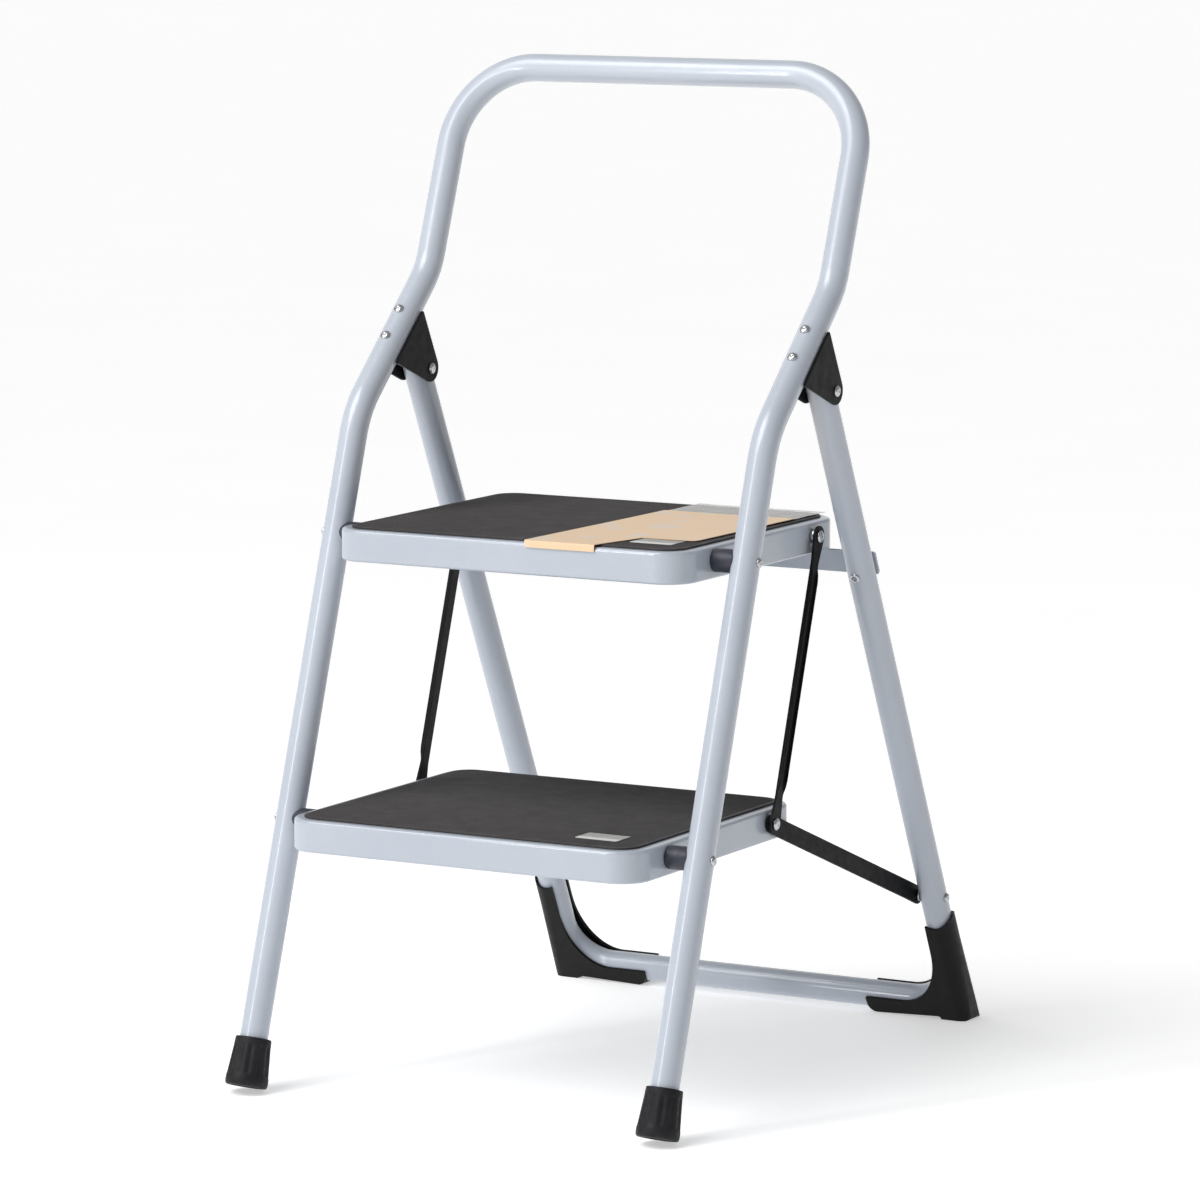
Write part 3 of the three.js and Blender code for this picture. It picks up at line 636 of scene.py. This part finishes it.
def step_rivets(inner, outer):
    """Through each leg, spacer and tray side, and behind them through the tray side and the links."""
    link_head = 182.8
    step = rivet(4.3, 1.9, 0, outer - inner, far=1.2)
    plain = rivet(5.4, 2.0, 0, link_head - inner, far=0)
    collared = rivet(5.4, 2.0, 0, link_head - inner, far=0, collar=(2.1, 6.5, 6.5))
    for name, pivot in (("upper", UPPER), ("lower", LOWER)):
        for side, sign in SIDES:
            at = (sign * inner, *pivot)
            rivet_piece(f"{name}_step_rivet_{side}", step, "front_frame", at, (sign, 0, 0))
    for name, pivot, shape in (("upper", UPPER_LINK, collared), ("lower", LOWER_LINK, plain)):
        for side, sign in SIDES:
            at = (sign * inner, *pivot)
            rivet_piece(f"{name}_link_rivet_{side}", shape, f"{name}_step", at, (sign, 0, 0))


def frame_rivets():
    """The hinge pins, and the rivets that hold the brackets and the crossbar to the tubes."""
    pin_head, bracket_rivets = 15.8, (("lower", 79.0), ("upper", 111.0))
    pin = rivet(5.0, 2.1, 0, 2 * pin_head, far=0)
    bracket = rivet(4.5, 1.9, 1.2, 2 * TUBE_FACE + 2.8, far=0)
    for side, sign in SIDES:
        at = (sign * (LEG_X - pin_head), *HINGE)
        rivet_piece(f"hinge_pin_{side}", pin, "front_frame", at, (sign, 0, 0))
        for level, along in bracket_rivets:
            at = Vector((sign * LEG_X, KNEE[0], KNEE[1])) + SLOPE_UP * along - SLOPE_BACK * TUBE_FACE
            rivet_piece(f"bracket_rivet_{level}_{side}", bracket, "front_frame", at, SLOPE_BACK)
        at = rear_point(sign * LEG_X, CROSSBAR_TOP - CROSSBAR["height"] / 2, -TUBE_FACE)
        rivet_piece(f"crossbar_rivet_{side}", bracket, "rear_frame", at, REAR_FACE)


def open_pivots(outer):
    """The leg's half has its head outside the tube, and the link's half has its head on the link."""
    leg_end, stub_head, stub_end = 193.1, 186.2, 192.2
    leg_half = rivet(4.3, 1.9, 1.2, outer - leg_end)
    link_half = rivet(4.6, 1.7, 0, stub_end - stub_head, collar=(3.6, 6.0, 5.5))
    for side, sign in SIDES:
        rivet_piece(f"lower_link_leg_rivet_{side}", leg_half, "rear_frame",
                    (sign * outer, *LINK_FOOT), (-sign, 0, 0))
        rivet_piece(f"lower_link_stub_{side}", link_half, f"{side}_lower_link",
                    (sign * stub_head, *LINK_FOOT), (sign, 0, 0))


def rivets():
    inner = TRAY["half"] - TRAY["wall"] - FIT
    outer = LEG_X + TUBE_FACE
    step_rivets(inner, outer)
    frame_rivets()
    open_pivots(outer)


def spacers():
    """Plastic rings between tray and leg, hollowed at the outer end to sit on the round tube."""
    around, near, r, bore = 64, 175.3, 10.4, 3.4
    across = Vector((0, LEG_UP.z, -LEG_UP.y))

    def tube_side(off):
        return LEG_X - math.sqrt(TUBE_R ** 2 - off ** 2) - 0.1

    # Radius, distance from the tray's side, and share of the rest of the way to the leg.
    rows = ((bore, 0, 1), (bore, 0, 0), (9.2, 0, 0), (10.0, 0.25, 0), (r, 1.1, 0), (r, 0, 0.5), (r, 0, 0.9),
            (r - 0.6, 0, 1))
    for name, pivot in (("upper", UPPER), ("lower", LOWER)):
        rings = []
        for radius, start, share in rows:
            ring = []
            for k in range(around):
                a = 2 * math.pi * k / around
                off, up = radius * math.cos(a), radius * math.sin(a)
                p = across * off + LEG_UP * up
                x = near + start + (tube_side(off) - near) * share
                ring.append(Vector((x, pivot[0] + p.y, pivot[1] + p.z)))
            rings.append(ring)
        shape = loft(rings, close=True)
        for side, sign in SIDES:
            piece(sided(shape, sign), f"{name}_step_spacer_{side}", "front_frame", SPACER,
                  sharp=50, weighted=False)


# ------------------------------------------------------------------ hinge brackets
def hinge_brackets():
    """Two ears joined by a web behind the front tube, in the frame of the tube's slope from its knee."""
    to_hinge = Vector((0, HINGE[0] - KNEE[0], HINGE[1] - KNEE[1]))
    along, behind = to_hinge.dot(SLOPE_UP), to_hinge.dot(SLOPE_BACK)
    r, edge, ear_near, ear_far = 12.3, 1.0, 13, 15.5

    def touch(s, turn):
        """The angle at which a line from the ear's straight edge touches the round end."""
        ds, dn = s - along, edge - behind
        return math.degrees(math.atan2(dn, ds) + turn * math.acos(r / math.hypot(ds, dn)))

    start, end = touch(122, 1), touch(60, -1)
    while end < start:
        end += 360
    ear = [(61.2, edge), (120.6, edge), (121.8, 1.6), (122.1, 3.0)] + arc(along, behind, r, start, end, 24)
    ear.append((59.6, 2.6))
    hole = circle(along, behind, HOLE_R, 24)
    parts = [plate([ear, hole], a, b, 0.5) for a, b in ((ear_near, ear_far), (-ear_far, -ear_near))]
    web = []
    for s in (68.0, 68.4, 74, 82, 90, 98, 106, 115.6, 116.0):
        inset = 0.5 if s in (68.0, 116.0) else 0.0
        inner, outer = TUBE_FACE + inset, 15.3 - inset
        section = ((inner, -14.6), (inner, 14.6), (13.6, 15.0), (outer, 14.3), (outer, -14.3), (13.6, -15.0))
        web.append([(s, y, z) for y, z in section])
    parts.append(loft(web))
    local = basis(SLOPE_UP, SLOPE_BACK, SLOPE_UP.cross(SLOPE_BACK), (0, KNEE[0], KNEE[1]))
    for side, sign in SIDES:
        m = Matrix.Translation((sign * LEG_X, 0, 0)) @ local
        piece(placed(merged(*parts), m), f"hinge_bracket_{side}", "front_frame", STEEL)


# ------------------------------------------------------------------ crossbar
# x across the stool, y up the rear frame and z out of its front.
REAR_PLANE = basis(X_AXIS, REAR_UP, X_AXIS.cross(REAR_UP), (0, *REAR_BAR))


def crossbar():
    half = CROSSBAR["half"]
    outline = boxy(-half, CROSSBAR_TOP - CROSSBAR["height"], half, CROSSBAR_TOP, CROSSBAR["corner"])
    strip = plate([outline], -CROSSBAR["far"], -CROSSBAR["near"], 0.6)
    piece(placed(strip, REAR_PLANE), "rear_crossbar", "rear_frame", SHADED_PAINT)


# ------------------------------------------------------------------ rear feet
FOOT_BAR_END = 117.0
FOOT_BORE_R = TUBE_R + 0.25
PAST_FOOT = 20  # a depth beyond the foot's walls


def prism(loop, low, high, matrix):
    """A plain straight prism, used to cut."""
    n = len(loop)
    points = [Vector((x, y, low)) for x, y in loop] + [Vector((x, y, high)) for x, y in loop]
    faces = [tuple(range(n - 1, -1, -1)), tuple(range(n, 2 * n))]
    faces += [(k, (k + 1) % n, n + (k + 1) % n, n + k) for k in range(n)]
    return placed((points, faces), matrix)


def foot_block():
    """The foot before its cuts: flat front and back walls, joined by rounded outer corners."""
    middle = 60.0

    def section(along, out, depth, corner):
        x = LEG_X + out
        outline = ([(middle, -depth)] + arc(x - corner, -depth + corner, corner, -90, 0, 16)
                   + arc(x - corner, depth - corner, corner, 0, 90, 16) + [(middle, depth)])
        return [REAR_PLANE @ Vector((px, along, d)) for px, d in outline]

    return loft([section(-34, 15.8, 15.8, 10.5), section(-6, 15.8, 15.8, 11.5), section(30, 15.6, 15.8, 13.5),
                 section(70, 15.4, 15.5, 15.2), section(124, 15.0, 15.2, 15.0)])


def foot_outline():
    """The foot seen from the front: a tail along the bar, a heel pad on the floor and the side up the leg."""
    end, out = FOOT_BAR_END, LEG_X + 15.5
    loop = [(end - 1, 40), (end + 1.2, 11)] + arc(end + 10.4, 9.6, 9.2, 195, 270, 8)
    loop += [(190.5, 2.9), (192.5, 2.4), (193.6, 0)] + arc(out - 4.5, 4.5, 4.5, -90, 0, 8)
    loop += [(out, 20), (out + 8.5, 40), (out + 8.5, 150), (end - 1, 150)]
    front_view = basis(X_AXIS, Vector((0, 0, 1)), Vector((0, -1, 0)))
    return prism(loop, -REAR_BAR[0] - 120, 120 - REAR_BAR[0], front_view)


def inner_side(leg_lip, bar_lip, low, high):
    """Everything on the inner side of a wall's edge, between two depths."""
    cx, cy = LEG_X - 50.0, bar_lip + 58.0
    a, b = LEG_X - leg_lip - cx, cy - bar_lip
    curve = [(cx + a * math.cos(t), cy - b * math.sin(t)) for t in map(math.radians, range(0, 91, 5))]
    loop = [(40, 190), (LEG_X - leg_lip, 190)] + curve + [(FOOT_BAR_END - 30, bar_lip), (40, bar_lip)]
    return prism(loop, low, high, REAR_PLANE)


def above_rim():
    """Everything above the scooped rim, which rises to both sides of the leg and a little to the back."""
    xs, depths, top = [LEG_X - 24 + 2.4 * k for k in range(19)], [-18 + 3.0 * k for k in range(13)], 150

    def rim(x, depth):
        t = min(1.0, max(0.0, (15 - depth) / 30))
        return min(92.5 + 1.5 * t * t * (3 - 2 * t) + 0.033 * (x - LEG_X - 1) ** 2, 103)

    points = [REAR_PLANE @ Vector((x, rim(x, d), d)) for d in depths for x in xs]
    points += [REAR_PLANE @ Vector((x, top, d)) for d in depths for x in xs]
    n, rows = len(xs), len(depths)
    count, last = n * rows, n * (rows - 1)
    faces = []
    for j in range(rows - 1):
        for i in range(n - 1):
            quad = (j * n + i, j * n + i + 1, (j + 1) * n + i + 1, (j + 1) * n + i)
            faces += [quad, tuple(count + k for k in reversed(quad))]
    border = list(range(n)) + [j * n + n - 1 for j in range(1, rows)]
    border += [last + i for i in range(n - 2, -1, -1)] + [j * n for j in range(rows - 2, 0, -1)]
    for first, second in zip(border, border[1:] + border[:1]):
        faces.append((first, second, second + count, first + count))
    return points, faces


def carved(shape, steps):
    """A shape after boolean steps, each an operation and a shape, with its sharp edges softened."""
    base = add_object(mesh_of(*shape))
    cutters = []
    for operation, other in steps:
        cutter = add_object(mesh_of(*other))
        cutters.append(cutter)
        modifier = base.modifiers.new("cut", "BOOLEAN")
        modifier.operation = operation
        modifier.object = cutter
        modifier.solver = "EXACT"
    bevel = base.modifiers.new("bevel", "BEVEL")
    bevel.width = 0.7 * MM
    bevel.segments = 3
    bevel.limit_method = "ANGLE"
    bevel.angle_limit = math.radians(38)
    bevel.use_clamp_overlap = True
    bpy.context.view_layer.update()
    mesh = bpy.data.meshes.new_from_object(base.evaluated_get(bpy.context.evaluated_depsgraph_get()))
    for obj in [base, *cutters]:
        bpy.data.objects.remove(obj)
    return [v.co / MM for v in mesh.vertices], [tuple(p.vertices) for p in mesh.polygons]


def rear_feet():
    """One moulded shell, open towards the middle of the frame and round on its outer side."""
    leg = [(rear_point(0, 0, 0), 0), (rear_point(LEG_X, 0, 0), REAR_BEND), (rear_point(LEG_X, 160, 0), 0)]
    back_wall = inner_side(8.0, 5.6, -PAST_FOOT, -FOOT_BORE_R)
    front_wall = inner_side(7.8, 5.4, FOOT_BORE_R, PAST_FOOT)
    inside = inner_side(0.0, 0.0, -FOOT_BORE_R - 0.01, FOOT_BORE_R + 0.01)
    bore = tube(leg, FOOT_BORE_R, 0)
    steps = [("INTERSECT", foot_outline())]
    steps += [("DIFFERENCE", cutter) for cutter in (above_rim(), back_wall, front_wall, inside, bore)]
    right = carved(foot_block(), steps)
    for side, sign in SIDES:
        piece(sided(right, sign), f"rear_foot_{side}", "rear_frame", PLASTIC, sharp=40)


# ------------------------------------------------------------------ treads
def rounded(plan, inset, z, rear=None):
    """A ring of points at one height round the tray or the mat, inset from its plan, by rear at the rear."""
    rear = inset if rear is None else rear
    steps, least = 14, 3.0
    half, y0, y1 = plan["half"] - inset, plan["front"] + inset, plan["rear"] - rear
    rf, rr = max(plan["r_front"] - inset, least), max(plan["r_rear"] - rear, least)
    ring = (arc(half - rf, y0 + rf, rf, -90, 0, steps) + arc(half - rr, y1 - rr, rr, 0, 90, steps)
            + arc(-half + rr, y1 - rr, rr, 90, 180, steps) + arc(-half + rf, y0 + rf, rf, 180, 270, steps))
    return [Vector((x, y, z)) for x, y in ring]


def tray_shape():
    """Pressed tray: rounded top edge, straight skirt and a turned-in hem, wider at the rear."""
    top, bottom, wall = TRAY["top"], TRAY["bottom"], TRAY["wall"]
    hem, rear_hem, soft = 9.0, 18.0, 0.4

    def skin(inset, top_z, bottom_z, edge, fold):
        """(inset, z) from the top down one side of the sheet: round edge, skirt, round fold."""
        rows = [(12.0 + inset, top_z)]
        for a in map(math.radians, (0, 12, 25, 38, 51, 64, 77, 90)):
            rows.append((inset + edge * (1 - math.sin(a)), top_z - edge * (1 - math.cos(a))))
        rows += [(inset, top_z - edge - 6), (inset, bottom_z + fold + 6)]
        for a in map(math.radians, (0, 22, 45, 68, 90)):
            rows.append((inset + fold * (1 - math.cos(a)), bottom_z + fold * (1 - math.sin(a))))
        return rows

    outer = skin(0.0, top, bottom, 3.2, 2.2)
    inner = skin(wall, top - wall, bottom + wall, 1.8, 1.0)
    rings = [rounded(TRAY, i, z) for i, z in outer]
    for back, z in ((soft, bottom), (0, bottom + soft), (0, bottom + wall - soft), (soft, bottom + wall)):
        rings.append(rounded(TRAY, hem - back, z, rear=rear_hem - back))
    rings += [rounded(TRAY, i, z) for i, z in reversed(inner)]
    return loft(rings)


def mat_shape():
    """Mat with a rounded raised edge, a smooth border and fine ribs running across the tread."""
    low, top = MAT["bottom"], MAT["top"]
    rows = [(0.2, low), (0.0, low + 0.3)]
    rows += [(inset, top - down) for inset, down in (
        (0.0, 0.75), (0.12, 0.45), (0.4, 0.2), (0.8, 0.1), (2.6, 0.1), (3.0, 0.2), (3.3, 0.38), (3.7, 0.4))]
    parts = [loft([rounded(MAT, inset, z) for inset, z in rows])]
    border, pitch = 3.9, 2.6
    half, front, rear = MAT["half"] - border, MAT["front"] + border, MAT["rear"] - border
    r = MAT["r_front"] - border
    foot, shoulder, lip = 0.6, 0.36, 0.08
    section = ((-0.75, foot), (-0.72, shoulder), (-0.42, lip), (0.0, 0.0),
               (0.42, lip), (0.72, shoulder), (0.75, foot))
    for k in range(int((rear - front - 1.0) / pitch) + 1):
        y = front + 1.1 + k * pitch
        into_corner = max(front + r - y, y - rear + r, 0.0)
        reach = half - r + math.sqrt(max(r * r - into_corner ** 2, 0.0))
        rings = []
        for x, drop in ((-reach, 0.3), (-reach + 0.9, 0.0), (reach - 0.9, 0.0), (reach, 0.3)):
            rings.append([(x, y + dy, top - down - (drop if down < 0.5 else 0)) for dy, down in section])
        parts.append(loft(rings))
    return merged(*parts)


def treads():
    tray_metal, mat_body = tray_shape(), mat_shape()
    for name, pivot in (("upper", UPPER), ("lower", LOWER)):
        left, body = LABEL["left"][name], f"{name}_step"
        outline = boxy(left, LABEL["front"], left + LABEL["width"], LABEL["rear"], LABEL["corner"])
        label = plate([outline], MAT["top"] + 0.02, MAT["top"] + 0.34, 0.1, 2)
        at = Matrix.Translation((0, *pivot))
        piece(placed(tray_metal, at), f"{name}_step_tray", body, SHADED_PAINT)
        piece(placed(mat_body, at), f"{name}_step_mat", body, RUBBER, weighted=False)
        piece(placed(label, at), f"{name}_step_label", body, FOIL)


# ------------------------------------------------------------------ retail card and film
def sheet(loop, cut_x, cut_y, shape_at, thickness):
    """A thin sheet: the flat outline is cut into a grid, then each point goes where shape_at puts it."""
    bm = bmesh.new()
    bm.faces.new([bm.verts.new((x, y, 0)) for x, y in loop])
    for axis, cuts in ((X_AXIS, cut_x), (Vector((0, 1, 0)), cut_y)):
        for value in cuts:
            bmesh.ops.bisect_plane(bm, geom=bm.verts[:] + bm.edges[:] + bm.faces[:], dist=1e-4,
                                   plane_co=axis * value, plane_no=axis)
    bmesh.ops.recalc_face_normals(bm, faces=bm.faces)
    if sum(f.normal.z for f in bm.faces) < 0:
        bmesh.ops.reverse_faces(bm, faces=bm.faces)
    bm.verts.index_update()
    count = len(bm.verts)
    below, above = [], []
    for v in bm.verts:
        p, n = shape_at(v.co.x, v.co.y)
        below.append(p)
        above.append(p + n * thickness)
    faces = [tuple(v.index + count for v in f.verts) for f in bm.faces]
    faces += [tuple(v.index for v in reversed(f.verts)) for f in bm.faces]
    for e in bm.edges:
        if e.is_boundary:
            corner = e.link_loops[0]
            a, b = corner.vert.index, corner.link_loop_next.vert.index
            faces.append((a, b, b + count, a + count))
    bm.free()
    return below + above, faces


def between(low, high, step):
    """Even steps from low, short of high."""
    return [low + step * k for k in range(1, int((high - low) / step))]


def retail_card():
    """The card lies on the upper mat, and its front lip turns down over the tray's edge."""
    base, front, fold, lip, rear = MAT["top"] + 0.35, TRAY["front"] - 0.9, 0.9, 5.6, 176

    def bent(x, y):
        """The flat part rises a little in the middle and at its right and rear edges."""
        across, along = (x - 92) / 70, (y - 57) / 120
        lift = 0.55 * math.exp(-((x - 128) / 26) ** 2 - ((y - 110) / 60) ** 2)
        lift += 0.5 * max(0.0, across) ** 3 + 0.25 * max(0.0, along) ** 2
        lift *= max(0.0, min(1.0, (y - front) / 30))
        past = front + fold - y
        if past <= 0:
            return Vector((x, y, base + lift)), Vector((0, 0, 1))
        a = min(past / fold, math.pi / 2)
        hanging = max(0, past - fold * math.pi / 2)
        p = Vector((x, front + fold - fold * math.sin(a), base - fold * (1 - math.cos(a)) - hanging))
        return p, Vector((0, -math.sin(a), math.cos(a)))

    outline = [(22.4, front - lip), (90.6, front - lip), (90.8, front), (104.4, -2.6), (105.0, -0.8),
               (106.8, 0), (151.6, 0), (155.2, 0.8), (156.9, 3.8), (161.6, rear - 1.4), (160.4, rear),
               (31.6, rear), (30.2, rear - 1.2), (22.2, front)]
    cut_y = [front + y for y in (1.5 - lip, 3 - lip, -0.6, -0.25, 0.1, 0.45, 0.8, fold)]
    cut_y += between(front + 2, rear, 7.0)
    card = sheet(outline, between(22, 162, 7.0), cut_y, bent, 0.45)
    piece(placed(card, Matrix.Translation((0, *UPPER))), "retail_card", "upper_step", CARD,
          weighted=False)


def card_film():
    """Clear film behind the card, with shallow waves."""
    base, front, rear = MAT["top"] + 0.25, 177, 235.0

    def wavy(x, y):
        lift = 0.35 * math.sin((x + 0.4 * y) / 9.0) * math.sin((y - 176) / 16.0) ** 2 + 0.35
        return Vector((x, y, base + lift)), Vector((0, 0, 1))

    outline = [(32, front), (161, front), (162, rear), (34, rear)]
    film = sheet(outline, between(32, 162, 3.5), between(front, rear, 3.5), wavy, 0.12)
    piece(placed(film, Matrix.Translation((0, *UPPER))), "retail_card_film", "upper_step", FILM,
          weighted=False)


# ------------------------------------------------------------------ links
def eye_bar(length, half, eye, neck):
    """Outline of a bar with a round eye at each end."""
    touch = math.degrees(math.atan2(half, neck) + math.acos(eye / math.hypot(neck, half))) if neck else 90
    loop = arc(0, 0, eye, touch, 360 - touch, 24)
    if neck:
        loop += [(neck, -half), (length - neck, -half)]
    loop += arc(length, 0, eye, touch - 180, 180 - touch, 24)
    if neck:
        loop += [(length - neck, half), (neck, half)]
    return loop


def link_frame(start, end):
    """x along the link, y across it, z along the stool's x."""
    along = Vector((0, end[0] - start[0], end[1] - start[1])).normalized()
    return basis(along, X_AXIS.cross(along), X_AXIS, (0, *start))


def link_plate(length, half, eye, neck, low, high, edge):
    """A bar between two pivots, with a hole in each eye."""
    holes = [circle(0, 0, HOLE_R, 24), circle(length, 0, HOLE_R, 24)]
    return plate([eye_bar(length, half, eye, neck), *holes], low, high, edge)


def drop_link():
    """A channel: a flat bar with round eyes, its long edges turned up between the eyes."""
    length = math.dist(UPPER_LINK, LOWER_LINK)
    half, inside, top = 5.9, 180, 184.5
    parts = [link_plate(length, half, 9.5, 24, inside, inside + 2.2, 0.45)]
    rise = ((25, 182.0), (29, 182.6), (34, 183.9), (40, top))
    stations = [*rise, *((length - s, h) for s, h in reversed(rise))]
    for edge in (-1, 1):
        rings = []
        for s, h in stations:
            section = ((half, 181.2), (half, h - 0.5), (5.65, h - 0.12), (5.25, h), (4.85, h - 0.12),
                       (4.55, h - 0.5), (4.35, min(182.1, h - 0.5)), (4.0, 181.6))
            rings.append([(s, edge * y, z) for y, z in section])
        parts.append(loft(rings))
    return placed(merged(*parts), link_frame(UPPER_LINK, LOWER_LINK))


def lower_link():
    """A flat bar with full round ends, joggled out from the tray's side to the rear leg."""
    length = math.dist(LOWER_LINK, LINK_FOOT)
    low, high, soft, rise = 22.0, length - 22, 6.0, 10.5

    def ramp(t):
        """0 before a bend and t after it, with a soft bend between."""
        if t < -soft:
            return 0.0
        if t > soft:
            return t
        return (t + soft) ** 2 / (4 * soft)

    bm = bmesh.new()
    bm.from_mesh(mesh_of(*link_plate(length, 8.25, 8.25, 0, 176, 179, 0.7)))
    for k in range(-6, 7):
        for bend in (low, high):
            bmesh.ops.bisect_plane(bm, geom=bm.verts[:] + bm.edges[:] + bm.faces[:], dist=1e-7,
                                   plane_co=((bend + k) * MM, 0, 0), plane_no=X_AXIS)
    for v in bm.verts:
        s = v.co.x / MM
        v.co.z += rise / (high - low) * (ramp(s - low) - ramp(s - high)) * MM
    bmesh.ops.recalc_face_normals(bm, faces=bm.faces)
    bm.verts.index_update()
    points = [v.co / MM for v in bm.verts]
    faces = [tuple(v.index for v in f.verts) for f in bm.faces]
    bm.free()
    return placed((points, faces), link_frame(LOWER_LINK, LINK_FOOT))


def links():
    drop, lower = drop_link(), lower_link()
    for side, sign in SIDES:
        piece(sided(drop, sign), f"drop_link_{side}", f"{side}_drop_link", STEEL)
        piece(sided(lower, sign), f"lower_link_{side}", f"{side}_lower_link", STEEL)


# ------------------------------------------------------------------ stage, light and camera
def studio_floor():
    size = 60.0
    mesh = bpy.data.meshes.new("floor")
    corners = [(-size, -size, 0), (size, -size, 0), (size, size, 0), (-size, size, 0)]
    mesh.from_pydata(corners, [], [(0, 1, 2, 3)])
    floor = add_object(mesh, "floor")
    n = Nodes("studio_floor")
    n.out(n.ramp(n.noise(3, 2), (0.3, (0.80, 0.80, 0.80, 1)), (0.7, (0.82, 0.82, 0.82, 1))), "Base Color")
    n.set(Roughness=0.65, Specular_IOR_Level=0.1, Emission_Color=(1, 1, 1, 1), Emission_Strength=0.45)
    mesh.materials.append(n.mat)


def room():
    """A dim room with one white backdrop behind the stool."""
    world = bpy.data.worlds.new("studio")
    world.use_nodes = True
    tree = world.node_tree
    toward = tree.nodes.new("ShaderNodeVectorMath")
    toward.operation = "DOT_PRODUCT"
    toward.inputs[1].default_value = (-0.49, 0.87, 0.0)
    shade = tree.nodes.new("ShaderNodeMapRange")
    shade.interpolation_type = "SMOOTHSTEP"
    for key, value in (("From Min", 0.55), ("From Max", 0.92), ("To Min", 0.25), ("To Max", 0.8)):
        shade.inputs[key].default_value = value
    tree.links.new(tree.nodes.new("ShaderNodeTexCoord").outputs["Generated"], toward.inputs[0])
    tree.links.new(toward.outputs["Value"], shade.inputs["Value"])
    tree.links.new(shade.outputs["Result"], tree.nodes["Background"].inputs["Strength"])
    tree.nodes["Background"].inputs["Color"].default_value = (1, 1, 1, 1)
    bpy.context.scene.world = world


def aimed(name, light, location, target):
    obj = add_object(light, name)
    obj.location = location
    obj.rotation_euler = (Vector(target) - Vector(location)).to_track_quat("-Z", "Y").to_euler()


def area_light(name, size, size_y, power, location):
    light = bpy.data.lights.new(name, "AREA")
    light.shape, light.size, light.size_y, light.energy = "RECTANGLE", size, size_y, power
    aimed(name, light, location, (0, 0, 0.5))


def lights():
    sun = bpy.data.lights.new("key", "SUN")
    sun.energy, sun.angle = 1.3, math.radians(36)
    aimed("key", sun, (-1.3, -2.0, 3.2), (0, 0, 0))
    area_light("overhead", 1.4, 1.4, 15, (-0.8, -1.5, 2.4))
    area_light("softbox", 0.16, 2.2, 26, (-1.4, -2.9, 1.5))


def camera():
    data = bpy.data.cameras.new("camera")
    data.sensor_width = 36.0
    data.lens = 175.1001
    data.clip_end = 250
    obj = add_object(data, "camera")
    obj.location = (2.503419, -4.510199, 1.138594)
    obj.rotation_euler = (math.radians(90 - 8.001), 0, math.radians(29.173))
    bpy.context.scene.camera = obj
    bpy.context.scene.view_settings.view_transform = "Standard"


frame_tubes()
ferrules()
spacers()
rivets()
hinge_brackets()
crossbar()
rear_feet()
treads()
retail_card()
card_film()
links()
studio_floor()
room()
lights()
camera()
